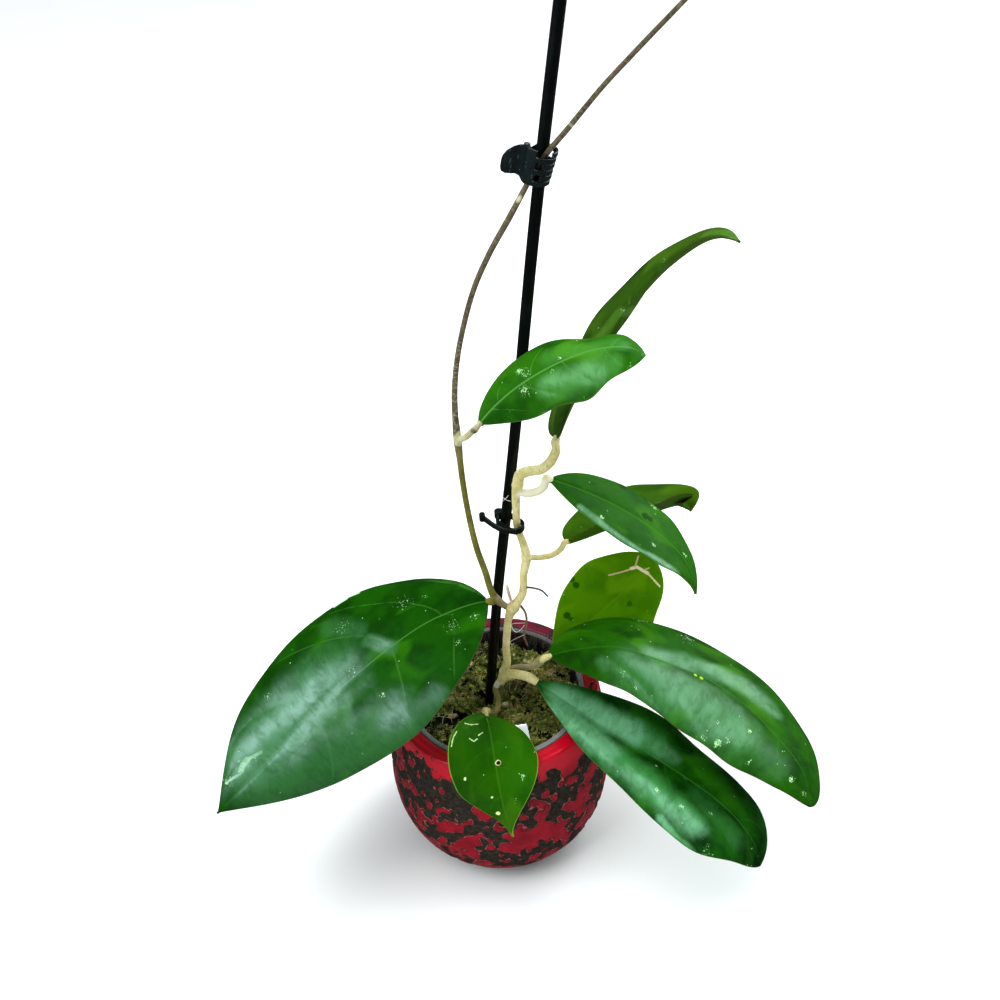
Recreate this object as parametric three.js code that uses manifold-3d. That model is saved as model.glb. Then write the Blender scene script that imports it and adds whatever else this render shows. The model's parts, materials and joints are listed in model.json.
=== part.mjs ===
import * as THREE from "three";
import { mergeVertices } from "three/addons/utils/BufferGeometryUtils.js";
import Module from "manifold-3d";

const wasm = await Module();
wasm.setup();

// A potted climbing hoya on a stake. Millimetres, +Z up, origin at the middle of the pot's foot.
// The front of the plant faces -Y.

// Clearance left between pieces that touch
const GAP = 0.3;

// Cachepot
const FOOT_RADIUS = 34;
const BELLY_RADIUS = 57.5;
const BELLY_HEIGHT = 42;
const RIDGE_RADIUS = 53;
const POT_HEIGHT = 93;
const MOUTH_RADIUS = 46.5;
const POT_WALL = 5;
const POT_FLOOR = 7;

// Liner pot
const LINER_TOP_RADIUS = 46;
const LINER_RIM_WIDTH = 2.8;
const LINER_RIM_HEIGHT = 3;
const LINER_TOP = 93.3;
const LINER_BASE_RADIUS = 33;
const LINER_WALL = 1;
const DRAIN_HOLE_RADIUS = 4;
const DRAIN_HOLE_CIRCLE = 20;
const DRAIN_HOLES = 4;

// Moss and bark mix
const MOSS_LEVEL = 83;
const MOSS_CROWN = 3;
const MOSS_BUMP = 1.4;
const BARK_CHIPS = 9;

// Stake
const STAKE_RADIUS = 2.5;
const STAKE_ROUTE = [
  [-10.4, 0.2, 16],
  [-3.3, 3.5, 83.5],
  [4.6, 6.9, 156],
  [15.7, 10.9, 239],
  [29.5, 16.3, 352],
  [44.1, 21.2, 455],
];

// Claw clip, in its own frame: X towards the tabs, Y towards the front jaw, Z along the stake
const CLIP_HEIGHT_ON_STAKE = 369.9;
const CLIP_TABS_POINT = [-0.86, 0.51, 0];
const CLIP_HEIGHT = 14.4;
const CLIP_STAKE_OFFSET = [1, -1.25];
const CLIP_LEAN = 4;
const CLAW_DEPTH = 5.15;
const CLAW_WIDTH_AT_FOOT = 3.4;
const CLAW_WIDTH_AT_TOP = 5;
const JAW_THICKNESS = 1.1;
const FINGER_PITCH = 2.4;
const FINGER_HEIGHT = 2;
const FRONT_FINGER_ENDS = [200, 200, 200];
const REAR_FINGER_ENDS = [200, 240, 240];
const CLIP_PIVOT_X = 7.6;
const PIN_RADIUS = 0.6;
const EAR_HOLE_RADIUS = 0.9;
const EAR_RADIUS = 1.7;
const EAR_HEIGHT = 1.4;
const EAR_LEVELS = [4.9, -3.1];
const SPRING_RADIUS = 1.25;
const SPRING_WIRE_RADIUS = 0.25;
const SPRING_TURNS = 4;
const SPRING_PITCH = 0.75;

// Ring clip
const RING_CENTRE = [12.3, 6.5, 198.6];
const RING_ANGLE = -48;
const RING_END_RADIUS = 3.3;
const RING_END_SPACING = 6.6;
const RING_THICKNESS = 1.2;
const RING_HEIGHT = 3.2;
const LEVER_RADIUS = 1.3;
const LEVER_ROUTE = [[14.5, -0.2, 199.4], [10, -0.9, 200], [5, 0.8, 202], [1.5, 2.8, 204], [-0.5, 3.8, 205.5]];
const LEVER_KNOB_RADIUS = 1.5;
const LEVER_KNOB_LEVELS = [203.4, 207.4];
const BACK_KNOB_RADIUS = 2.2;
const BACK_KNOB_PLACE = [7.2, 13.2];
const BACK_KNOB_LEVELS = [197.1, 201];

// Plant label
const LABEL_WIDTH = 13;
const LABEL_LENGTH = 30;
const LABEL_THICKNESS = 0.8;
const LABEL_TOP_CORNER = [14.7, -28.8, 98.4];
const LABEL_LEAN = [-0.14, -0.05, 1];

// Leaf blades
const BLADE_THICKNESS = 1.4;
const EDGE_THICKNESS = 0.8;
const BASE_HALF_WIDTH = 1.6;
const TIP_HALF_WIDTH = 0.6;
const BLADE_STEPS = 16;
const BLADE_SPANS = 6;

// Each blade follows its rib, a cubic curve. Its upper face looks along facesBase at the stalk and
// along facesTip at the tip. roundBase and pointTip shape the outline, swell widens each side of it by
// shares in one to four half waves, fold lifts the edges, droop lowers them again, and the edge waves
// by waveHeight.
const LEAVES = {
  leaf_large_left: {
    rib: [[-0.5, -4, 159], [-44.4, -10, 162], [-101.7, -47.8, 113.6], [-134.9, -66.2, 90.6]],
    facesBase: [-0.35, 0.01, 0.94],
    facesTip: [-0.03, -0.8, 0.6],
    width: 87.7,
    roundBase: 0.64,
    pointTip: 1.1,
    fold: 0,
    droop: 0.18,
    swell: [[-0.04, -0.06, 0, -0.02], [0.03, -0.07, 0.03, -0.03]],
  },
  leaf_small_front: {
    rib: [[-5, -30, 108], [-1, -56.8, 101.8], [-0.9, -64.7, 89.5], [4.8, -69.4, 63.6]],
    facesBase: [0.61, -0.09, 0.78],
    facesTip: [-0.5, -0.87, 0.02],
    width: 44.8,
    roundBase: 0.57,
    pointTip: 1.32,
    fold: 0.23,
    droop: 0.02,
    swell: [[-0.03, -0.05, -0.02, 0.01], [0.13, 0.05, 0.06, 0.04]],
  },
  leaf_lower_right: {
    rib: [[20.4, -12.4, 110.7], [73.6, -42.3, 82.5], [121.9, -62.2, 71.1], [125.7, -77, 38.2]],
    facesBase: [0.32, -0.13, 0.94],
    facesTip: [0.59, -0.22, 0.78],
    width: 58.7,
    roundBase: 0.81,
    pointTip: 0.71,
    fold: 0.15,
    droop: 0.05,
    swell: [[-0.28, 0.13, 0.04, -0.01], [0.27, -0.01, -0.01, 0.05]],
  },
  leaf_upper_right: {
    rib: [[27.8, -10.8, 126.1], [82.3, 10.4, 127], [153.5, -30.3, 88], [149.8, -66.9, 69.1]],
    facesBase: [0.17, 0.06, 0.98],
    facesTip: [0.67, -0.25, 0.7],
    width: 66.8,
    roundBase: 0.62,
    pointTip: 0.61,
    fold: 0,
    droop: 0.17,
    swell: [[-0.03, 0.02, 0.06, 0.02], [0.03, -0.09, -0.03, -0.02]],
  },
  leaf_upright_back: {
    rib: [[31.2, 20, 98.9], [58.1, 30.1, 115.6], [67.4, 33.1, 119], [85.5, 46.2, 137.2]],
    facesBase: [-0.03, -0.86, 0.52],
    facesTip: [0.05, -0.76, 0.64],
    width: 48.2,
    roundBase: 0.79,
    pointTip: 0.58,
    fold: 0.1,
    droop: 0.12,
    swell: [[0.06, 0.08, 0.03, 0.03], [-0.08, -0.17, -0.28, -0.12]],
  },
  leaf_middle_right: {
    rib: [[31.1, 0.7, 227.4], [62.7, -1.7, 214.5], [95.5, -10.7, 193.3], [95.2, -25.1, 175.9]],
    facesBase: [0.23, -0.16, 0.96],
    facesTip: [0.92, -0.1, 0.38],
    width: 38.1,
    roundBase: 0.75,
    pointTip: 0.8,
    fold: 0.09,
    droop: 0.12,
    swell: [[-0.02, -0.04, 0.03, 0.02], [0.06, 0.03, 0.02, 0.02]],
  },
  leaf_rear_right: {
    rib: [[39, 11, 181], [67.5, 34.6, 168.6], [108.7, 83.1, 151.5], [106.6, 56.3, 158.1]],
    facesBase: [-0.1, 0.58, 0.81],
    facesTip: [-0.18, 0.25, 0.95],
    width: 38.1,
    roundBase: 0.61,
    pointTip: 0.84,
    fold: 0.47,
    droop: 0,
    swell: [[0.21, -0.04, 0, -0.02], [-0.02, -0.07, 0.08, 0.1]],
  },
  leaf_upper_light: {
    rib: [[1.4, -10.6, 268], [19.6, -3.5, 289.5], [60.3, -6.8, 308], [70.6, -11.2, 296.9]],
    facesBase: [-0.4, -0.76, 0.52],
    facesTip: [-0.11, 0.1, 0.99],
    width: 32.2,
    roundBase: 0.66,
    pointTip: 0.49,
    fold: -0.16,
    droop: 0.22,
    waveHeight: 1.2,
    waves: 3,
    swell: [[-0.09, 0.08, 0.04, -0.09], [0.05, 0.13, -0.03, 0.08]],
  },
  leaf_top_narrow: {
    rib: [[35, 8, 244.5], [53.3, 35.1, 275.9], [99, 64.1, 324.4], [115.8, 33.7, 322.4]],
    facesBase: [-0.89, -0.02, 0.45],
    facesTip: [-0.15, 0.41, 0.9],
    width: 44,
    roundBase: 0.44,
    pointTip: 1,
    fold: 0.27,
    droop: 0.06,
    swell: [[-0.06, -0.13, 0, -0.11], [-0.24, -0.39, -0.24, -0.25]],
  },
};

// Stems, as points [x, y, z, radius]
const TRUNK = [
  [1.8, 0.5, 52, 1.9],
  [1.8, 0.2, 84, 1.9],
  [2.3, -2.5, 97, 2],
  [3.6, -4.6, 106, 2.2],
  [5.3, -5, 111.5, 2.6],
  [6.8, -4.8, 117, 2],
  [6.9, -4.2, 127, 1.9],
  [7.7, -3.5, 136.5, 1.9],
  [8.9, -2.5, 145.6, 1.9],
  [11.4, -2, 152.3, 2.7],
  [14, -1.5, 156, 2.1],
  [16.5, -1, 161, 2],
  [17.2, 0, 171, 1.9],
  [19, 1, 181.7, 2.4],
  [17.6, 2, 190.6, 1.8],
  [15.5, 4.1, 197.4, 1.75],
  [15.4, 3.5, 208, 1.8],
  [15.7, 3, 218, 2.1],
  [16.6, 2.5, 224, 2.6],
  [18, 2.8, 229.5, 2.5],
  [22, 3.5, 230.6, 2.4],
  [27.5, 4.5, 230.6, 2.35],
  [32, 6, 233.5, 2.3],
  [34.8, 7, 239, 2.2],
];
const STALKS = {
  leaf_small_front: {
    radius: 1.6,
    lead: 2.2,
    route: [[3.6, -4.6, 106], [0.4, -8.5, 103.6], [1.2, -14, 100.6], [0.6, -19, 99.6],
      [-1.8, -23, 101.2], [-4.4, -24.8, 104.8]],
  },
  leaf_lower_right: {
    radius: 2.4,
    lead: 3,
    route: [[2.9, -5, 103.5], [5, -8, 110.2], [9.1, -9, 113.2], [13.8, -10, 113.3]],
  },
  leaf_upper_right: {
    radius: 1.7,
    lead: 2.5,
    route: [[5.3, -5, 111.5], [11, -4.5, 113], [17.5, -5, 113.6], [22.4, -7.4, 117.6]],
  },
  leaf_upright_back: {
    radius: 1.5,
    lead: 3,
    route: [[5.3, -5, 111.5], [9, -1, 104], [17, 7, 100], [24, 14, 99]],
  },
  leaf_middle_right: {
    radius: 1.9,
    lead: 1.5,
    route: [[16, 2.8, 220.5], [20.5, 1.2, 219.9], [25.3, 0.7, 221], [28.2, 0.7, 223.4]],
  },
  leaf_rear_right: {
    radius: 1.45,
    lead: 1.6,
    route: [[19, 1, 181.7], [25.1, 4, 178.3], [31.4, 6, 177.6], [35.9, 8.5, 178.9]],
  },
  leaf_top_narrow: {
    radius: 2,
    lead: 1.5,
    route: [[32, 6, 233.5], [34.6, 6.8, 238.5]],
  },
};
const AERIAL_ROOTS = [
  [[12, -2, 152, 0.9], [10.3, -2.6, 159, 0.8], [9.1, -4, 168.5, 0.7]],
  [[17, -0.6, 164, 0.6], [21.2, -3, 165.4, 0.5], [25.4, -4, 164.3, 0.5], [28.4, -5, 161, 0.45]],
  [[14, -1.7, 155, 0.7], [17.2, -2, 148.5, 0.6], [17.5, -1, 138.7, 0.5], [16, 0, 131.6, 0.5],
    [17.6, 1, 122.7, 0.45]],
];

const VINE = [
  [8, -1.2, 152.7, 1.6],
  [6.3, -0.7, 154, 1.7],
  [3.8, -0.5, 156.8, 2.2],
  [1.6, -0.5, 162, 1.65],
  [-0.7, 0, 174.3, 1.6],
  [-4, 0, 190, 1.5],
  [-6.7, 0.5, 211.8, 1.4],
  [-8, 1, 229.5, 1.4],
  [-8.4, 1, 241.3, 1.45],
  [-8.7, 1.5, 251.4, 2],
  [-8.9, 2, 263.8, 1.4],
  [-8.3, 3, 276.6, 1.35],
  [-6.6, 4, 289, 1.25],
  [-3.3, 5, 303.7, 1.2],
  [2.9, 7, 322.9, 1.2],
  [10.3, 9, 337.7, 1.25],
  [18.5, 10.8, 351, 1.3],
];

// The vine inside the claw clip, in the clip's own frame
const VINE_IN_CLIP = [[3.3, 2.5, -7.4], [0.5, 2.8, 0], [-2.6, 1.95, 7.2]];
const VINE_IN_CLIP_RADIUS = 1.15;

const VINE_ABOVE_CLIP = [
  [41.9, 15, 383.6, 1.15],
  [47.5, 16.5, 389.5, 1.1],
  [56, 18.5, 398.4, 1.05],
  [67.4, 20.5, 409.2, 1.05],
  [79, 22, 420.1, 1],
  [90.5, 24, 430.2, 0.95],
  [103.5, 26, 439, 0.8],
  [118.5, 28, 446, 0.5],
];
const VINE_STALKS = {
  leaf_large_left: {
    radius: 2,
    lead: 1.5,
    route: [[3.8, -0.5, 156.8], [2.1, -2.6, 158.4]],
  },
  leaf_upper_light: {
    radius: 1.45,
    lead: 3,
    route: [[-8.7, 1.5, 251.4], [-4.7, -3, 256.3], [-1.6, -7.2, 262.3]],
  },
};

// Materials
const glaze = new THREE.MeshStandardMaterial({ color: 0x8f1424, roughness: 0.2, metalness: 0 });
const smokyPlastic = new THREE.MeshStandardMaterial({
  color: 0x6c716c,
  roughness: 0.3,
  metalness: 0,
  transparent: true,
  opacity: 0.6,
});
const moss = new THREE.MeshStandardMaterial({ color: 0x55552a, roughness: 1, metalness: 0 });
const paleStem = new THREE.MeshStandardMaterial({ color: 0xc9c08c, roughness: 0.75, metalness: 0 });
const brownStem = new THREE.MeshStandardMaterial({ color: 0x6a6238, roughness: 0.7, metalness: 0 });
const darkLeaf = new THREE.MeshStandardMaterial({ color: 0x1c5a12, roughness: 0.35, metalness: 0 });
const lightLeaf = new THREE.MeshStandardMaterial({ color: 0x3c8a2a, roughness: 0.35, metalness: 0 });
const backLeaf = new THREE.MeshStandardMaterial({ color: 0x3f7d12, roughness: 0.6, metalness: 0 });
const blackPlastic = new THREE.MeshStandardMaterial({ color: 0x0d1412, roughness: 0.4, metalness: 0 });
const clipPlastic = new THREE.MeshStandardMaterial({ color: 0x0a1a18, roughness: 0.3, metalness: 0 });
const steel = new THREE.MeshStandardMaterial({ color: 0xb8bcc0, roughness: 0.3, metalness: 1 });
const whitePlastic = new THREE.MeshStandardMaterial({ color: 0xf0f1ee, roughness: 0.6, metalness: 0 });

// A closed surface as a solid body
function solid(geometry) {
  const bare = geometry.index ? geometry.toNonIndexed() : geometry.clone();
  bare.deleteAttribute("normal");
  bare.deleteAttribute("uv");
  const merged = mergeVertices(bare, 1e-4);
  const corners = [];
  for (let i = 0; i < merged.index.count; i += 3) {
    const [a, b, c] = [merged.index.getX(i), merged.index.getX(i + 1), merged.index.getX(i + 2)];
    if (a !== b && b !== c && a !== c) corners.push(a, b, c);
  }
  return new wasm.Manifold(
    new wasm.Mesh({
      numProp: 3,
      vertProperties: merged.attributes.position.array,
      triVerts: new Uint32Array(corners),
    }),
  );
}

function joined(bodies) {
  return bodies.reduce((whole, body) => whole.add(body));
}

function piece(name, body, material) {
  const { vertProperties, triVerts } = body.getMesh();
  const geometry = new THREE.BufferGeometry();
  geometry.setAttribute("position", new THREE.BufferAttribute(new Float32Array(vertProperties), 3));
  geometry.setIndex(new THREE.BufferAttribute(new Uint32Array(triVerts), 1));
  geometry.computeVertexNormals();
  const mesh = new THREE.Mesh(geometry, material);
  mesh.name = name;
  return mesh;
}

// A profile of [radius, height] points turned about the vertical axis
function turned(profile, segments) {
  const points = profile.map(([radius, height]) => new THREE.Vector2(radius, height));
  const geometry = new THREE.LatheGeometry(points, segments);
  geometry.rotateX(Math.PI / 2);
  return solid(geometry);
}

function ball(centre, radius) {
  const geometry = new THREE.SphereGeometry(radius, 10, 8);
  geometry.translate(...centre);
  return solid(geometry);
}

function upright(radius, bottom, top, [x, y], sides) {
  const geometry = new THREE.CylinderGeometry(radius, radius, top - bottom, sides);
  geometry.rotateX(Math.PI / 2);
  geometry.translate(x, y, (bottom + top) / 2);
  return solid(geometry);
}

// A round stem along a smooth curve through [x, y, z, radius] points, with flat ends
function stem(points, sides, stepsPerSpan) {
  const centres = points.map(([x, y, z]) => new THREE.Vector3(x, y, z));
  const curve = new THREE.CatmullRomCurve3(centres, false, "centripetal");
  const steps = (points.length - 1) * stepsPerSpan;
  const positions = [];
  const corners = [];
  let across = null;
  for (let step = 0; step <= steps; step++) {
    const place = (step / steps) * (points.length - 1);
    const span = Math.min(Math.floor(place), points.length - 2);
    const radius = THREE.MathUtils.lerp(points[span][3], points[span + 1][3], place - span);
    const centre = curve.getPoint(step / steps);
    const along = curve.getTangent(step / steps);
    if (!across) {
      across = Math.abs(along.x) < 0.8 ? new THREE.Vector3(1, 0, 0) : new THREE.Vector3(0, 1, 0);
    }
    across.addScaledVector(along, -across.dot(along)).normalize();
    const beside = new THREE.Vector3().crossVectors(along, across);
    for (let side = 0; side < sides; side++) {
      const angle = (side / sides) * 2 * Math.PI;
      const point = centre.clone();
      point.addScaledVector(across, radius * Math.cos(angle));
      point.addScaledVector(beside, radius * Math.sin(angle));
      positions.push(...point.toArray());
    }
  }
  for (let step = 0; step < steps; step++) {
    for (let side = 0; side < sides; side++) {
      const here = step * sides + side;
      const next = step * sides + ((side + 1) % sides);
      corners.push(here, next, next + sides, here, next + sides, here + sides);
    }
  }
  const start = positions.length / 3;
  const last = steps * sides;
  positions.push(...centres[0].toArray(), ...centres.at(-1).toArray());
  for (let side = 0; side < sides; side++) {
    const next = (side + 1) % sides;
    corners.push(start, next, side, start + 1, last + side, last + next);
  }
  return solid(surface(positions, corners));
}

function surface(positions, corners) {
  const geometry = new THREE.BufferGeometry();
  geometry.setAttribute("position", new THREE.Float32BufferAttribute(positions, 3));
  geometry.setIndex(corners);
  return geometry;
}

// Leaves

function ribOf(leaf) {
  return new THREE.CubicBezierCurve3(...leaf.rib.map((point) => new THREE.Vector3(...point)));
}

// Half the blade's width, u of the way from stalk to tip, on the side that v points to
function halfWidth(leaf, u, v) {
  const { width, roundBase, pointTip, swell } = leaf;
  const widest = roundBase / (roundBase + pointTip);
  const plain = Math.pow(u / widest, roundBase) * Math.pow((1 - u) / (1 - widest), pointTip);
  const shares = swell[v < 0 ? 0 : 1];
  const swollen = shares.reduce((sum, share, i) => sum + share * Math.sin((i + 1) * Math.PI * u), 1);
  const least = THREE.MathUtils.lerp(BASE_HALF_WIDTH, TIP_HALF_WIDTH, u);
  return Math.max((width / 2) * plain * swollen, least);
}

// The blade's upper or lower face at u along the rib and v across it, from -1 to 1
function bladePoint(leaf, rib, u, v, face) {
  const { facesBase, facesTip, fold, droop, waveHeight = 0, waves = 0 } = leaf;
  const along = rib.getTangent(u);
  const looks = new THREE.Vector3(...facesBase).lerp(new THREE.Vector3(...facesTip), u);
  const side = new THREE.Vector3().crossVectors(along, looks).normalize();
  const up = new THREE.Vector3().crossVectors(side, along);
  const half = halfWidth(leaf, u, v);
  const wave = waveHeight * v * v * Math.sin(u * Math.PI) * Math.sin(2 * Math.PI * waves * u + v);
  const thickness = THREE.MathUtils.lerp(BLADE_THICKNESS, EDGE_THICKNESS, Math.abs(v));
  const height = half * (fold * Math.abs(v) - droop * v * v) + wave + (face * thickness) / 2;
  return rib.getPoint(u).addScaledVector(side, half * v).addScaledVector(up, height);
}

// Both faces are split into triangles the same way, so a waved blade keeps its thickness
function blade(leaf) {
  const rib = ribOf(leaf);
  const across = BLADE_SPANS + 1;
  const sheet = (BLADE_STEPS + 1) * across;
  const positions = [];
  for (const face of [1, -1]) {
    for (let i = 0; i <= BLADE_STEPS; i++) {
      for (let j = 0; j <= BLADE_SPANS; j++) {
        const v = (2 * j) / BLADE_SPANS - 1;
        positions.push(...bladePoint(leaf, rib, i / BLADE_STEPS, v, face).toArray());
      }
    }
  }
  const corners = [];
  for (let i = 0; i < BLADE_STEPS; i++) {
    for (let j = 0; j < BLADE_SPANS; j++) {
      const a = i * across + j;
      const b = a + 1;
      const c = b + across;
      const d = a + across;
      corners.push(a, b, c, a, c, d);
      corners.push(a + sheet, c + sheet, b + sheet, a + sheet, d + sheet, c + sheet);
    }
  }
  const wall = (from, to) => {
    corners.push(from, to + sheet, to, from, from + sheet, to + sheet);
  };
  const end = BLADE_STEPS * across;
  for (let j = 0; j < BLADE_SPANS; j++) {
    wall(j, j + 1);
    wall(end + j + 1, end + j);
  }
  for (let i = 0; i < BLADE_STEPS; i++) {
    wall((i + 1) * across, i * across);
    wall(i * across + BLADE_SPANS, (i + 1) * across + BLADE_SPANS);
  }
  return solid(surface(positions, corners));
}

// A leaf stalk ends flat, just short of its blade's base and in line with the rib
function stalk(leafName, { route, radius, lead }) {
  const [base, next] = LEAVES[leafName].rib.map((point) => new THREE.Vector3(...point));
  const along = next.sub(base).normalize();
  const points = route.map((point) => [...point, radius]);
  for (const back of [lead, GAP]) {
    points.push([...base.clone().addScaledVector(along, -back).toArray(), radius]);
  }
  return stem(points, 7, 2);
}

function stalks(table) {
  return Object.entries(table).map(([leafName, spec]) => stalk(leafName, spec));
}

// Cachepot: a round bowl with a flat foot and a flat rim

function bowlRadius(height) {
  if (height < BELLY_HEIGHT) {
    const drop = 1 - height / BELLY_HEIGHT;
    return FOOT_RADIUS + (BELLY_RADIUS - FOOT_RADIUS) * Math.sqrt(1 - drop * drop);
  }
  const rise = (height - BELLY_HEIGHT) / (POT_HEIGHT - BELLY_HEIGHT);
  const shrink = 1 - (RIDGE_RADIUS / BELLY_RADIUS) ** 2;
  return BELLY_RADIUS * Math.sqrt(1 - shrink * rise * rise);
}

function cachepotBody() {
  const outer = [0, 1, 4, 10, 20, 31, 42, 58, 75, 88];
  const inner = [78, 60, 42, 27, 14, 9];
  const rimRound = 1.2;
  const throat = 84;
  const floorRadius = 37;
  return turned(
    [
      [0, 0],
      ...outer.map((height) => [bowlRadius(height), height]),
      [RIDGE_RADIUS - 0.3 * rimRound, POT_HEIGHT - 0.3 * rimRound],
      [RIDGE_RADIUS - rimRound, POT_HEIGHT],
      [MOUTH_RADIUS + rimRound, POT_HEIGHT],
      [MOUTH_RADIUS, POT_HEIGHT - rimRound],
      [MOUTH_RADIUS, throat],
      ...inner.map((height) => [Math.max(bowlRadius(height) - POT_WALL, MOUTH_RADIUS * 0.2), height]),
      [floorRadius, POT_FLOOR],
      [0, POT_FLOOR],
    ],
    44,
  );
}

// Liner pot: a tapered cup with a rim and drain holes, standing on the cachepot's floor

const LINER_BOTTOM = POT_FLOOR + GAP;

function linerOuter(height) {
  const rise = (height - LINER_BOTTOM) / (LINER_TOP - LINER_BOTTOM);
  return THREE.MathUtils.lerp(LINER_BASE_RADIUS, LINER_TOP_RADIUS - LINER_RIM_WIDTH + LINER_WALL, rise);
}

function linerBody() {
  const rimUnder = LINER_TOP - LINER_RIM_HEIGHT;
  const floorTop = LINER_BOTTOM + 1.5;
  const cup = turned(
    [
      [0, LINER_BOTTOM],
      [LINER_BASE_RADIUS, LINER_BOTTOM],
      [linerOuter(50), 50],
      [linerOuter(rimUnder), rimUnder],
      [LINER_TOP_RADIUS, rimUnder],
      [LINER_TOP_RADIUS, LINER_TOP - 0.6],
      [LINER_TOP_RADIUS - 0.6, LINER_TOP],
      [linerOuter(LINER_TOP) - LINER_WALL, LINER_TOP],
      [linerOuter(50) - LINER_WALL, 50],
      [linerOuter(floorTop) - LINER_WALL, floorTop],
      [0, floorTop],
    ],
    36,
  );
  const holes = [];
  for (let i = 0; i < DRAIN_HOLES; i++) {
    const angle = ((i + 0.5) / DRAIN_HOLES) * 2 * Math.PI;
    const centre = [DRAIN_HOLE_CIRCLE * Math.cos(angle), DRAIN_HOLE_CIRCLE * Math.sin(angle)];
    holes.push(upright(DRAIN_HOLE_RADIUS, LINER_BOTTOM - 1, floorTop + 1, centre, 16));
  }
  return cup.subtract(joined(holes));
}

// Moss and bark mix: fills the liner, with a bumpy top

function mossTop(x, y) {
  const crown = MOSS_CROWN * (1 - (x * x + y * y) / LINER_TOP_RADIUS ** 2);
  const bumps = Math.sin(0.31 * x + 1.2) * Math.cos(0.27 * y) + 0.6 * Math.sin(0.62 * y + 0.45 * x);
  return MOSS_LEVEL + crown + MOSS_BUMP * bumps;
}

function seeded(seed) {
  let state = seed;
  return () => {
    state = (state * 16807) % 2147483647;
    return state / 2147483647;
  };
}

function barkChips() {
  const draw = seeded(11);
  const chips = [];
  for (let i = 0; i < BARK_CHIPS; i++) {
    const angle = ((i + 0.6 * draw()) / BARK_CHIPS) * 2 * Math.PI;
    const reach = 20 + 12 * draw();
    const chip = new THREE.BoxGeometry(6 + 4 * draw(), 4 + 3 * draw(), 3);
    chip.rotateX(0.5 * (draw() - 0.5));
    chip.rotateZ(2 * Math.PI * draw());
    const [x, y] = [reach * Math.cos(angle), reach * Math.sin(angle)];
    chip.translate(x, y, mossTop(x, y) + 0.4);
    chips.push(solid(chip));
  }
  return chips;
}

function mossBody() {
  const bottom = LINER_BOTTOM + 1.5 + GAP;
  const inside = (height) => linerOuter(height) - LINER_WALL - GAP;
  const edge = MOSS_LEVEL - 3;
  const points = [[0, bottom], [inside(bottom), bottom], [inside(50), 50], [inside(edge), edge]];
  for (const share of [0.92, 0.78, 0.62, 0.46, 0.3, 0.15, 0]) {
    points.push([inside(edge) * share, MOSS_LEVEL]);
  }
  const profile = points.map(([radius, height]) => new THREE.Vector2(radius, height));
  const mound = new THREE.LatheGeometry(profile, 36);
  mound.rotateX(Math.PI / 2);
  const spots = mound.attributes.position;
  for (let i = 0; i < spots.count; i++) {
    if (spots.getZ(i) > edge + 1) {
      spots.setZ(i, mossTop(spots.getX(i), spots.getY(i)));
    }
  }
  const whole = joined([solid(mound), ...barkChips()]);
  return whole.decompose().reduce((largest, body) => (body.volume() > largest.volume() ? body : largest));
}

// Stake

function stakeBody() {
  const body = stem(STAKE_ROUTE.map((point) => [...point, STAKE_RADIUS]), 12, 3);
  return body.add(ball(STAKE_ROUTE.at(-1), STAKE_RADIUS));
}

// The stake's centre and direction at a height
function stakeAt(height) {
  const curve = new THREE.CatmullRomCurve3(
    STAKE_ROUTE.map((point) => new THREE.Vector3(...point)),
    false,
    "centripetal",
  );
  let low = 0;
  let high = 1;
  for (let i = 0; i < 30; i++) {
    const middle = (low + high) / 2;
    if (curve.getPoint(middle).z < height) low = middle;
    else high = middle;
  }
  return { centre: curve.getPoint(low), along: curve.getTangent(low) };
}

// Claw clip

// A strip of even thickness along a flat line of [x, y] points, raised from bottom to top
function strip(line, bottom, top) {
  const points = line.map(([x, y]) => new THREE.Vector2(x, y));
  const sideOf = (sign) =>
    points.map((point, i) => {
      const before = points[Math.max(i - 1, 0)];
      const after = points[Math.min(i + 1, points.length - 1)];
      const along = after.clone().sub(before).normalize();
      const offset = (sign * JAW_THICKNESS) / 2;
      return new THREE.Vector2(point.x - along.y * offset, point.y + along.x * offset);
    });
  const outline = new THREE.Shape([...sideOf(1), ...sideOf(-1).reverse()]);
  const geometry = new THREE.ExtrudeGeometry(outline, { depth: top - bottom, bevelEnabled: false });
  geometry.translate(0, 0, bottom);
  return solid(geometry);
}

// Part of the oval that the claws follow, flatter towards the clip's foot
function clawLine(height, from, to, steps) {
  const rise = height / CLIP_HEIGHT + 0.5;
  const width = THREE.MathUtils.lerp(CLAW_WIDTH_AT_FOOT, CLAW_WIDTH_AT_TOP, rise);
  const line = [];
  for (let i = 0; i <= steps; i++) {
    const angle = THREE.MathUtils.degToRad(from + ((to - from) * i) / steps);
    line.push([width * Math.cos(angle), CLAW_DEPTH * Math.sin(angle)]);
  }
  return line;
}

// Each jaw seen from its own front. The rear one is drawn before it is turned over.
const FRONT_JAW_OUTLINE = [
  [-8, -7.2], [4, -7.2], [5.5, -6.9], [7.3, -5.6], [8.8, -5.2], [12.6, -5.6], [14.2, -5.2], [14.8, -3.6],
  [14.8, -0.4], [14.3, 1.5], [12.9, 3.8], [11, 5.6], [9.2, 6.5], [7, 7.1], [4.6, 7.2], [-8, 7.2],
];
const REAR_JAW_OUTLINE = [
  [-8, -7.2], [3, -7.2], [5, -6.4], [7, -4.4], [9, -2.8], [12, -1.6], [13.8, -0.4], [14.4, 1.4],
  [14.4, 4], [13.2, 5.6], [11, 6.2], [8.6, 6.2], [7, 7.1], [4.6, 7.2], [-8, 7.2],
];

function prismOf(points) {
  const outline = new THREE.Shape(points.map(([x, z]) => new THREE.Vector2(x, z)));
  const geometry = new THREE.ExtrudeGeometry(outline, { depth: 20, bevelEnabled: false });
  geometry.translate(0, 0, -10);
  geometry.rotateX(Math.PI / 2);
  return solid(geometry);
}

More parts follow.
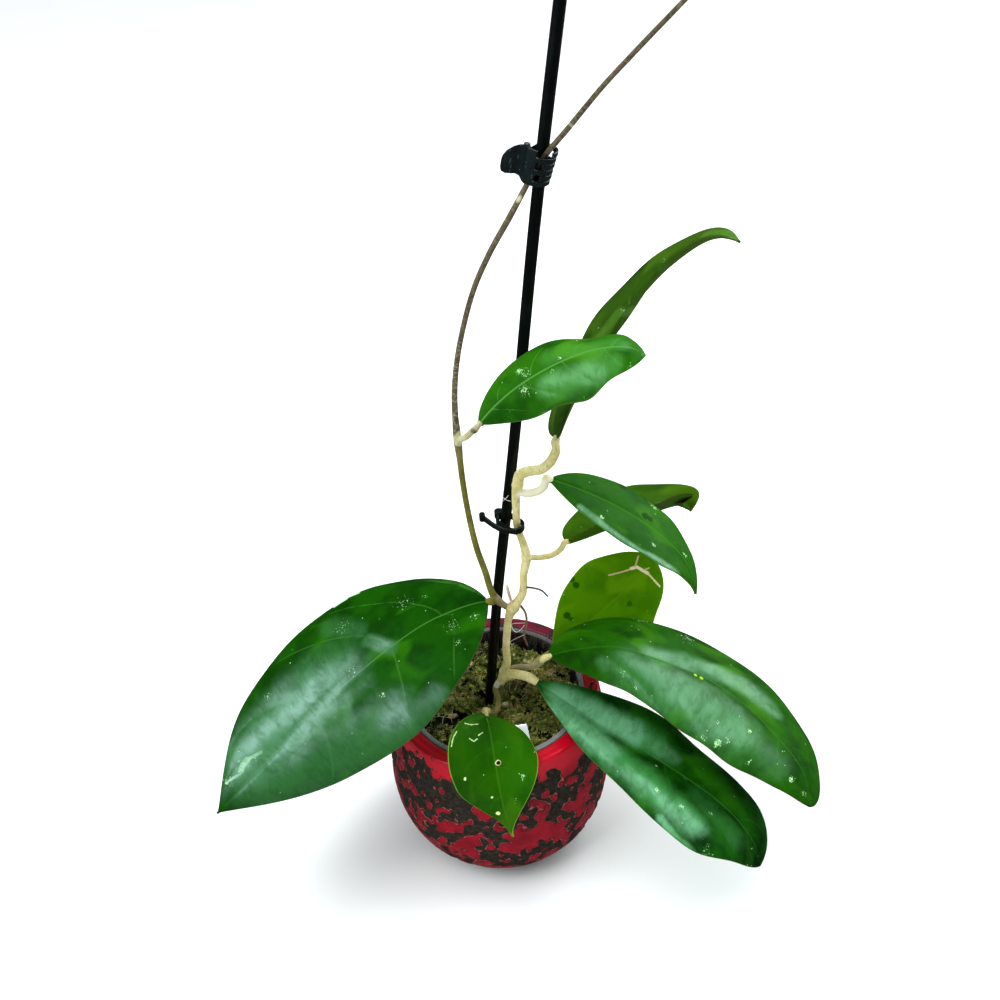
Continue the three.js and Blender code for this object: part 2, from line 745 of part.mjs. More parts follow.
// One jaw: a tab, a plate, curved fingers and two ears. The front jaw stands upright, way 1. The rear
// one is turned over, way -1, so its fingers and ears come between those of the front one. fingerEnds
// are the angles at which its fingers end, in the order drawn.
function jaw(outline, way, fingerEnds) {
  const half = CLIP_HEIGHT / 2;
  const plate = [
    [15.4, 5.7],
    [12.6, 5.6],
    [10.6, 4.9],
    [9, 3.7],
    [7.4, 3.3],
    [5.8, 3.9],
    [4.2, 4.9],
    ...clawLine(0, 75, 85, 1),
  ];
  const bodies = [strip(plate, -half, half + 0.5)];
  fingerEnds.forEach((end, i) => {
    const bottom = -half + FINGER_PITCH * 2 * i + (FINGER_PITCH - FINGER_HEIGHT) / 2;
    const line = clawLine(way * (bottom + FINGER_HEIGHT / 2), 76, end, 9);
    bodies.push(strip(line, bottom, bottom + FINGER_HEIGHT));
  });
  for (const level of EAR_LEVELS) {
    const bridge = new THREE.BoxGeometry(2.4, 3.2, EAR_HEIGHT);
    bridge.translate(CLIP_PIVOT_X, 1.6, level);
    bodies.push(upright(EAR_RADIUS, level - EAR_HEIGHT / 2, level + EAR_HEIGHT / 2, [CLIP_PIVOT_X, 0], 12));
    bodies.push(solid(bridge));
  }
  const hole = upright(EAR_HOLE_RADIUS, -half, half, [CLIP_PIVOT_X, 0], 12);
  return joined(bodies).intersect(prismOf(outline)).subtract(hole);
}

// Pin with a small head above and below the outer ears
function pinBody() {
  const reach = EAR_LEVELS[0] + EAR_HEIGHT / 2 + GAP;
  const head = 0.6;
  const centre = [CLIP_PIVOT_X, 0];
  return joined([
    upright(PIN_RADIUS, -reach - 0.1, reach + 0.1, centre, 12),
    upright(EAR_HOLE_RADIUS + 0.4, reach, reach + head, centre, 12),
    upright(EAR_HOLE_RADIUS + 0.4, -reach - head, -reach, centre, 12),
  ]);
}

// Torsion spring round the pin, with one leg under the front tab
function springBody() {
  const stepsPerTurn = 10;
  const steps = SPRING_TURNS * stepsPerTurn;
  const points = [];
  for (let i = 0; i <= steps; i++) {
    const angle = (i / stepsPerTurn) * 2 * Math.PI + Math.PI / 2;
    const height = (i / steps - 0.5) * SPRING_TURNS * SPRING_PITCH;
    const x = CLIP_PIVOT_X + SPRING_RADIUS * Math.cos(angle);
    points.push([x, SPRING_RADIUS * Math.sin(angle), height, SPRING_WIRE_RADIUS]);
  }
  const top = points.at(-1)[2];
  points.push([CLIP_PIVOT_X + 2.5, SPRING_RADIUS + 0.5, top, SPRING_WIRE_RADIUS]);
  points.push([CLIP_PIVOT_X + 3.6, SPRING_RADIUS + 1.6, top, SPRING_WIRE_RADIUS]);
  return stem(points.reverse(), 6, 1);
}

function clipFrame() {
  const { centre, along } = stakeAt(CLIP_HEIGHT_ON_STAKE);
  const x = new THREE.Vector3(...CLIP_TABS_POINT);
  x.addScaledVector(along, -x.dot(along)).normalize();
  const y = new THREE.Vector3().crossVectors(along, x);
  x.applyAxisAngle(y, THREE.MathUtils.degToRad(-CLIP_LEAN));
  along.applyAxisAngle(y, THREE.MathUtils.degToRad(-CLIP_LEAN));
  const origin = centre.clone();
  origin.addScaledVector(x, -CLIP_STAKE_OFFSET[0]).addScaledVector(y, -CLIP_STAKE_OFFSET[1]);
  return new THREE.Matrix4().makeBasis(x, y, along).setPosition(origin);
}

// Ring clip: an open-backed oval band round stake and stem, with a lever across the front

function ringBody() {
  const reach = RING_END_SPACING / 2;
  const oval = (path, radius) => {
    path.absarc(reach, 0, radius, -Math.PI / 2, Math.PI / 2);
    path.absarc(-reach, 0, radius, Math.PI / 2, (3 * Math.PI) / 2);
    return path;
  };
  const band = oval(new THREE.Shape(), RING_END_RADIUS + RING_THICKNESS);
  band.holes.push(oval(new THREE.Path(), RING_END_RADIUS));
  const options = { depth: RING_HEIGHT, bevelEnabled: false, curveSegments: 7 };
  const ring = new THREE.ExtrudeGeometry(band, options);
  ring.translate(0, 0, -RING_HEIGHT / 2);
  ring.rotateZ(THREE.MathUtils.degToRad(RING_ANGLE));
  ring.translate(...RING_CENTRE);
  const lever = stem(LEVER_ROUTE.map((point) => [...point, LEVER_RADIUS]), 8, 2);
  const leverEnd = LEVER_ROUTE.at(-1).slice(0, 2);
  const leverKnob = upright(LEVER_KNOB_RADIUS, ...LEVER_KNOB_LEVELS, leverEnd, 10);
  const backKnob = upright(BACK_KNOB_RADIUS, ...BACK_KNOB_LEVELS, BACK_KNOB_PLACE, 10);
  return joined([solid(ring), lever, leverKnob, backKnob]);
}

// Plant label

function labelBody(grow) {
  const box = new THREE.BoxGeometry(LABEL_WIDTH + grow, LABEL_THICKNESS + grow, LABEL_LENGTH + grow);
  box.translate(-LABEL_WIDTH / 2, 0, -LABEL_LENGTH / 2);
  const up = new THREE.Vector3(...LABEL_LEAN).normalize();
  const right = new THREE.Vector3(1, 0, 0).addScaledVector(up, -up.x).normalize();
  const back = new THREE.Vector3().crossVectors(up, right);
  box.applyMatrix4(new THREE.Matrix4().makeBasis(right, back, up).setPosition(...LABEL_TOP_CORNER));
  return solid(box);
}

// Assembly

const plant = new THREE.Group();

const trunk = joined([
  stem(TRUNK, 10, 2),
  ...stalks(STALKS),
  ...AERIAL_ROOTS.map((root) => stem(root, 5, 2)),
]);

const clip = new THREE.Group();
const frame = clipFrame();
clip.applyMatrix4(frame);
const vineInClip = VINE_IN_CLIP.map((point) => {
  const place = new THREE.Vector3(...point).applyMatrix4(frame);
  return [...place.toArray(), VINE_IN_CLIP_RADIUS];
});
const vine = joined([
  stem([...VINE, ...vineInClip, ...VINE_ABOVE_CLIP], 8, 2),
  ...stalks(VINE_STALKS),
]);

// Plain holes in the moss, a little wider and deeper than what stands in them
const holeRoute = (points) => points.map(([x, y, z, radius]) => [x, y, z - GAP, radius + 1.4 * GAP]);
const moundHoles = joined([
  stem(holeRoute(STAKE_ROUTE.slice(0, 3).map((point) => [...point, STAKE_RADIUS])), 12, 3),
  stem(holeRoute(TRUNK.slice(0, 4)), 10, 2),
  labelBody(2 * GAP),
]);

plant.add(piece("cachepot", cachepotBody(), glaze));
plant.add(piece("liner_pot", linerBody(), smokyPlastic));
plant.add(piece("moss_and_bark_mix", mossBody().subtract(moundHoles), moss));
plant.add(piece("stake", stakeBody(), blackPlastic));
plant.add(piece("main_stem", trunk, paleStem));
plant.add(piece("vine", vine, brownStem));
for (const [name, leaf] of Object.entries(LEAVES)) {
  const material = { leaf_upper_light: lightLeaf, leaf_upright_back: backLeaf }[name] ?? darkLeaf;
  plant.add(piece(name, blade(leaf), material));
}
plant.add(piece("ring_clip", ringBody(), blackPlastic));
plant.add(piece("plant_label", labelBody(0), whitePlastic));

clip.add(piece("claw_clip_front_jaw", jaw(FRONT_JAW_OUTLINE, 1, FRONT_FINGER_ENDS), clipPlastic));
const rearJawBody = jaw(REAR_JAW_OUTLINE, -1, REAR_FINGER_ENDS);
const rearJaw = piece("claw_clip_rear_jaw", rearJawBody, clipPlastic);
rearJaw.rotation.x = Math.PI;
clip.add(rearJaw);
clip.add(piece("claw_clip_pin", pinBody(), steel));
clip.add(piece("claw_clip_spring", springBody(), steel));
plant.add(clip);

export default plant;
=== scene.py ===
import json
import math

import bmesh
import bpy
import numpy as np
from mathutils import Matrix, Vector


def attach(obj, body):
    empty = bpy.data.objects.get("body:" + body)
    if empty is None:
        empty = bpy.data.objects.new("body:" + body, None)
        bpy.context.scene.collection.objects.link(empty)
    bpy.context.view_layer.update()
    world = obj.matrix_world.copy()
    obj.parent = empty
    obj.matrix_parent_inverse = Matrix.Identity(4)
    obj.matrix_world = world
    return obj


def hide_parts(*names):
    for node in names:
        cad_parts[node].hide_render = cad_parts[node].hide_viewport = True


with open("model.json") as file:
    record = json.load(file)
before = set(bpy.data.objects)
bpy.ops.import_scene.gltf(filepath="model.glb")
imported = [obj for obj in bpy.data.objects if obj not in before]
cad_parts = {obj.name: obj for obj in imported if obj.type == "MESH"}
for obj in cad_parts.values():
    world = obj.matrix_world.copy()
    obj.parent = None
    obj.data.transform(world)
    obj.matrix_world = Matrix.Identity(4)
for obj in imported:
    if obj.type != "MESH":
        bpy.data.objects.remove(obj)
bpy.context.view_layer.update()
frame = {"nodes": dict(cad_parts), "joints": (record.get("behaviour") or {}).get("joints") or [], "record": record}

# Lengths are in millimetres until a mesh is made
MM = 0.001
PLANT = "plant"
REAR_JAW = "rear_jaw"

# Camera of the photograph: place in millimetres, degrees down from level, degrees of roll,
# and the distance of the picture plane in pixels
CAMERA_PLACE = np.array([8.425, -442.955, 571.789])
CAMERA_DOWN = math.radians(38.65)
CAMERA_ROLL = math.radians(-3.412)
PICTURE_SIZE = 1000
FOCAL_PIXELS = 1250
SENSOR_WIDTH = 36
HALF_PIXEL = 0.5
CLIP_METRES = (0.01, 50)
# A ray from the camera is followed from and to these distances, in these steps
RAY_RANGE = (400, 900)
RAY_STEP = 0.25

LOOK = np.array([0, math.cos(CAMERA_DOWN), -math.sin(CAMERA_DOWN)])
LEVEL_UP = np.cross([1, 0, 0], LOOK)
PICTURE_RIGHT = math.cos(CAMERA_ROLL) * np.array([1, 0, 0]) + math.sin(CAMERA_ROLL) * LEVEL_UP
PICTURE_UP = math.cos(CAMERA_ROLL) * LEVEL_UP - math.sin(CAMERA_ROLL) * np.array([1, 0, 0])
PICTURE_MIDDLE = PICTURE_SIZE / 2 + HALF_PIXEL


def make_camera():
    data = bpy.data.cameras.new("camera")
    data.sensor_width = SENSOR_WIDTH
    data.lens = SENSOR_WIDTH * FOCAL_PIXELS / PICTURE_SIZE
    data.shift_x = -HALF_PIXEL / PICTURE_SIZE
    data.shift_y = HALF_PIXEL / PICTURE_SIZE
    data.clip_start, data.clip_end = CLIP_METRES
    turn = Matrix((PICTURE_RIGHT, PICTURE_UP, -LOOK)).transposed()
    camera = new_object("camera", data)
    camera.matrix_world = Matrix.Translation(Vector(CAMERA_PLACE * MM)) @ turn.to_4x4()
    bpy.context.scene.camera = camera


def first_hit(pixel, inside):
    """The first point, seen at a pixel of the photograph, for which inside holds."""
    right, down = (np.array(pixel) - PICTURE_MIDDLE) / FOCAL_PIXELS
    ray = LOOK + right * PICTURE_RIGHT - down * PICTURE_UP
    ray /= np.linalg.norm(ray)
    for reach in np.arange(*RAY_RANGE, RAY_STEP):
        point = CAMERA_PLACE + ray * reach
        if inside(*point):
            return point
    raise ValueError("the pixel misses the surface")


def seen_at(points):
    """The pixels of the photograph at which points lie."""
    away = points - CAMERA_PLACE
    depth = away @ LOOK
    right = PICTURE_MIDDLE + FOCAL_PIXELS * (away @ PICTURE_RIGHT) / depth
    down = PICTURE_MIDDLE - FOCAL_PIXELS * (away @ PICTURE_UP) / depth
    return np.stack([right, down], -1)


# Meshes

MERGE = 0.001
BUMP_SEED = 3
SOFTENING = 0.5


def unit(vector):
    return vector / np.linalg.norm(vector, axis=-1, keepdims=True)


def new_object(name, data):
    made = bpy.data.objects.new(name, data)
    bpy.context.scene.collection.objects.link(made)
    return made


def mesh_object(name, points, faces, smooth=True):
    mesh = bpy.data.meshes.new(name)
    mesh.from_pydata((np.asarray(points, float) * MM).tolist(), [], [list(map(int, f)) for f in faces])
    mesh.validate()
    mesh.polygons.foreach_set("use_smooth", np.full(len(mesh.polygons), smooth))
    return new_object(name, mesh)


def add_vectors(made, name, values):
    attribute = made.data.attributes.new(name, "FLOAT_VECTOR", "POINT")
    attribute.data.foreach_set("vector", np.asarray(values, np.float32).ravel())


def dress(made, material, body, slot, *nodes):
    """Gives a piece its material, the body that it moves with and the nodes that it stands for."""
    made.data.materials.clear()
    made.data.materials.append(material)
    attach(made, body)
    if nodes:
        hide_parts(*nodes)


def apply_modifiers(made):
    graph = bpy.context.evaluated_depsgraph_get()
    mesh = bpy.data.meshes.new_from_object(made.evaluated_get(graph))
    made.modifiers.clear()
    made.data = mesh
    mesh.polygons.foreach_set("use_smooth", np.full(len(mesh.polygons), True))


def joined_parts(parts):
    """Several (points, faces) as one."""
    points = []
    faces = []
    start = 0
    for part_points, part_faces in parts:
        points.append(np.asarray(part_points, float))
        faces.extend([[corner + start for corner in face] for face in part_faces])
        start += len(part_points)
    return np.concatenate(points), faces


def circle(radius, height, sides):
    angles = np.linspace(0, 2 * math.pi, sides, endpoint=False)
    return np.stack([radius * np.cos(angles), radius * np.sin(angles), np.full(sides, height)], -1)


def ring_faces(rings, sides, closed=False):
    """Faces between rings of points, with the last ring joined to the first where closed."""
    faces = []
    for ring in range(rings if closed else rings - 1):
        low = ring * sides
        high = (ring + 1) % rings * sides
        for side in range(sides):
            after = (side + 1) % sides
            faces.append((low + side, low + after, high + after, high + side))
    return faces


def turned_over(faces):
    return [(a, d, c, b) for a, b, c, d in faces]


def smooth_route(points, steps_per_span):
    """The centripetal curve through points, and the place of each step counted in spans."""
    middle = points[:, :3]
    padded = np.vstack([2 * middle[0] - middle[1], middle, 2 * middle[-1] - middle[-2]])
    spans = len(points) - 1
    places = np.linspace(0, spans, spans * steps_per_span + 1)
    route = []
    for place in places:
        i = min(int(place), spans - 1)
        share = place - i
        p0, p1, p2, p3 = padded[i:i + 4]
        d0, d1, d2 = (np.sqrt(np.linalg.norm(b - a)) for a, b in ((p0, p1), (p1, p2), (p2, p3)))
        leave = ((p1 - p0) / d0 - (p2 - p0) / (d0 + d1) + (p2 - p1) / d1) * d1
        arrive = ((p2 - p1) / d1 - (p3 - p1) / (d1 + d2) + (p3 - p2) / d2) * d1
        square = -3 * p1 + 3 * p2 - 2 * leave - arrive
        cube = 2 * p1 - 2 * p2 + leave + arrive
        route.append(p1 + leave * share + square * share ** 2 + cube * share ** 3)
    return np.array(route), places


def tube(points, sides, steps_per_span, bumps=0.0):
    """A round stem along a smooth curve through (x, y, z, radius) points, closed at both ends."""
    points = np.asarray(points, float)
    route, places = smooth_route(points, steps_per_span)
    radii = np.interp(places, np.arange(len(points)), points[:, 3])
    if bumps:
        radii = radii * (1 + bumps * np.random.default_rng(BUMP_SEED).uniform(-1, 1, len(radii)))
    along = unit(np.gradient(route, axis=0))
    across = np.array([1.0, 0, 0]) if abs(along[0][0]) < 0.8 else np.array([0, 1.0, 0])
    angles = np.linspace(0, 2 * math.pi, sides, endpoint=False)
    rings = []
    for centre, direction, radius in zip(route, along, radii):
        across = unit(across - direction * (across @ direction))
        beside = np.cross(direction, across)
        rings.append(centre + radius * (np.outer(np.cos(angles), across) + np.outer(np.sin(angles), beside)))
    count = len(route)
    ends = [tuple(range(sides))[::-1], tuple(range((count - 1) * sides, count * sides))]
    return np.concatenate(rings), ring_faces(count, sides) + ends


def ball(centre, radius, rings=10, sides=14, stretch=(1, 1, 1)):
    turns = [math.pi * ring / rings for ring in range(1, rings)]
    middle = [circle(math.sin(turn), -math.cos(turn), sides) for turn in turns]
    points = np.concatenate([[(0, 0, -1)], *middle, [(0, 0, 1)]])
    faces = []
    top = len(points) - 1
    for side in range(sides):
        after = (side + 1) % sides
        faces.append((0, 1 + after, 1 + side))
        faces.append((top, top - sides + side, top - sides + after))
        for low in range(1, 1 + (rings - 2) * sides, sides):
            faces.append((low + side, low + after, low + sides + after, low + sides + side))
    return points * np.array(stretch) * radius + np.array(centre), faces


def turned(profile, sides):
    """A closed profile of (radius, height) points turned about the vertical axis."""
    points = np.concatenate([circle(radius, height, sides) for radius, height in profile])
    return points, ring_faces(len(profile), sides, True)


def face_outwards(made, merge=0.0):
    """Turns all faces outwards, after points within merge of one another become one."""
    shape = bmesh.new()
    shape.from_mesh(made.data)
    if merge:
        bmesh.ops.remove_doubles(shape, verts=shape.verts, dist=merge * MM)
        bmesh.ops.dissolve_degenerate(shape, edges=shape.edges, dist=merge * MM)
    bmesh.ops.recalc_face_normals(shape, faces=shape.faces)
    shape.to_mesh(made.data)
    shape.free()


def with_skin(made, voxel, smoothing):
    """Gives a piece one fine skin with rounded edges."""
    skin = made.modifiers.new("skin", "REMESH")
    skin.mode = "VOXEL"
    skin.voxel_size = voxel * MM
    soften = made.modifiers.new("soften", "SMOOTH")
    soften.factor = SOFTENING
    soften.iterations = smoothing
    apply_modifiers(made)
    return made


def finer_copy(node, voxel, smoothing):
    source = frame["nodes"][node].data
    points = np.array([vertex.co for vertex in source.vertices]) / MM
    made = mesh_object(node + "_skin", points, [list(face.vertices) for face in source.polygons])
    face_outwards(made, MERGE)
    return with_skin(made, voxel, smoothing)


# Materials

def linear(red, green, blue):
    """A screen colour in 0 to 255 as the shader's linear colour."""
    shares = [value / 255 for value in (red, green, blue)]
    return tuple([s / 12.92 if s <= 0.04045 else ((s + 0.055) / 1.055) ** 2.4 for s in shares] + [1.0])


class Paint:
    """Adds nodes to one node tree. An input is a number, a colour or another node's output, and a
    colour of three numbers is a screen colour in 0 to 255."""

    def __init__(self, tree):
        self.tree = tree

    def fill(self, node, inputs):
        for key, value in inputs.items():
            if isinstance(value, bpy.types.NodeSocket):
                self.tree.links.new(value, node.inputs[key])
            elif value is not None:
                node.inputs[key].default_value = value

    def add(self, kind, inputs, output=0, **settings):
        node = self.tree.nodes.new(kind)
        for key, value in settings.items():
            setattr(node, key, value)
        self.fill(node, inputs)
        return node.outputs[output]

    def math(self, operation, a, b=0.0):
        return self.add("ShaderNodeMath", {0: a, 1: b}, operation=operation)

    def times(self, a, b):
        return self.math("MULTIPLY", a, b)

    def plus(self, a, *others):
        for b in others:
            a = self.math("ADD", a, b)
        return a

    def most(self, a, b):
        return self.math("MAXIMUM", a, b)

    def vector(self, operation, a, b, output=0):
        return self.add("ShaderNodeVectorMath", {0: a, 1: b}, output, operation=operation)

    def scaled(self, vector, scale):
        return self.vector("MULTIPLY", vector, scale)

    def distance(self, a, b):
        return self.vector("DISTANCE", a, tuple(float(value) for value in b), "Value")

    def line_gap(self, place, start, end):
        """How far each place lies from the straight line between two points."""
        start, end = np.array(start, float), np.array(end, float)
        length = float(np.linalg.norm(end - start))
        along = tuple((end - start) / length)
        first = float(np.dot(start, along))
        run = self.vector("DOT_PRODUCT", place, along, "Value")
        share = self.add("ShaderNodeMapRange", {0: run, 1: first, 2: first + length, 3: 0.0, 4: 1.0})
        inputs = {0: share, 4: tuple(start), 5: tuple(end)}
        nearest = self.add("ShaderNodeMix", inputs, 1, data_type="VECTOR")
        return self.vector("DISTANCE", place, nearest, "Value")

    def route_gap(self, place, points):
        """How far each place lies from a bent line through points, or from a single point."""
        if len(points) == 1:
            return self.distance(place, points[0])
        total = None
        for start, end in zip(points, points[1:]):
            gap = self.line_gap(place, start, end)
            total = gap if total is None else self.math("MINIMUM", total, gap)
        return total

    def step(self, value, low, high):
        """0 below low, 1 above high and smooth between. With low above high it falls instead."""
        inputs = {0: value, 1: low, 2: high, 3: 0.0, 4: 1.0}
        return self.add("ShaderNodeMapRange", inputs, interpolation_type="SMOOTHSTEP")

    def noise(self, vector, scale, detail=2.0, roughness=0.5, distortion=0.0):
        inputs = {"Vector": vector, "Scale": scale, "Detail": detail, "Roughness": roughness}
        return self.add("ShaderNodeTexNoise", {**inputs, "Distortion": distortion})

    def cells(self, vector, scale, **smooth):
        inputs = {"Vector": vector, "Scale": scale, **smooth}
        return self.add("ShaderNodeTexVoronoi", inputs, "Distance", feature="SMOOTH_F1" if smooth else "F1")

    def split(self, vector):
        node = self.tree.nodes.new("ShaderNodeSeparateXYZ")
        self.tree.links.new(vector, node.inputs[0])
        return node.outputs

    def blend(self, share, a, b):
        a, b = (linear(*tone) if isinstance(tone, tuple) and len(tone) == 3 else tone for tone in (a, b))
        return self.add("ShaderNodeMix", {0: share, 6: a, 7: b}, 2, data_type="RGBA")

    def lay(self, colour, tone, share, amount=None):
        """A colour with a tone laid over it."""
        return self.blend(share if amount is None else self.times(share, amount), colour, tone)

    def value(self, share, a, b):
        return self.add("ShaderNodeMix", {0: share, 2: a, 3: b}, 0, data_type="FLOAT")

    def attribute(self, name):
        return self.add("ShaderNodeAttribute", {}, "Vector", attribute_name=name)

    def bump(self, height, distance, strength, normal=None):
        inputs = {"Height": height, "Distance": distance * MM, "Strength": strength, "Normal": normal}
        return self.add("ShaderNodeBump", inputs)


class Skin(Paint):
    """The paint of a new material. Its place is in millimetres."""

    def __init__(self, name):
        self.material = bpy.data.materials.new(name)
        self.material.use_nodes = True
        super().__init__(self.material.node_tree)
        self.place = self.scaled(self.add("ShaderNodeTexCoord", {}, "Object"), (1 / MM, 1 / MM, 1 / MM))

    def finish(self, colour, roughness, normal=None, **others):
        inputs = {"Base Color": colour, "Roughness": roughness, "Normal": normal}
        inputs.update({key.replace("_", " "): value for key, value in others.items()})
        self.fill(self.tree.nodes["Principled BSDF"], inputs)
        return self.material


# Leaf blades: the same curves and outlines as the solids, with veins, relief and rounded edges

BLADE_THICKNESS = 1.4
EDGE_THICKNESS = 0.8
BASE_HALF_WIDTH = 1.6
TIP_HALF_WIDTH = 0.6
BLADE_STEPS = 110
BLADE_SPANS = 44
RIB_WIDTH = 0.9
VEIN_WIDTH = 0.75
VEIN_SPACING = 35
VEIN_LEAN = 1.7
FIRST_LEAF_SEED = 40
BILLOWS = 5
BILLOW_LENGTHS = (22, 55)

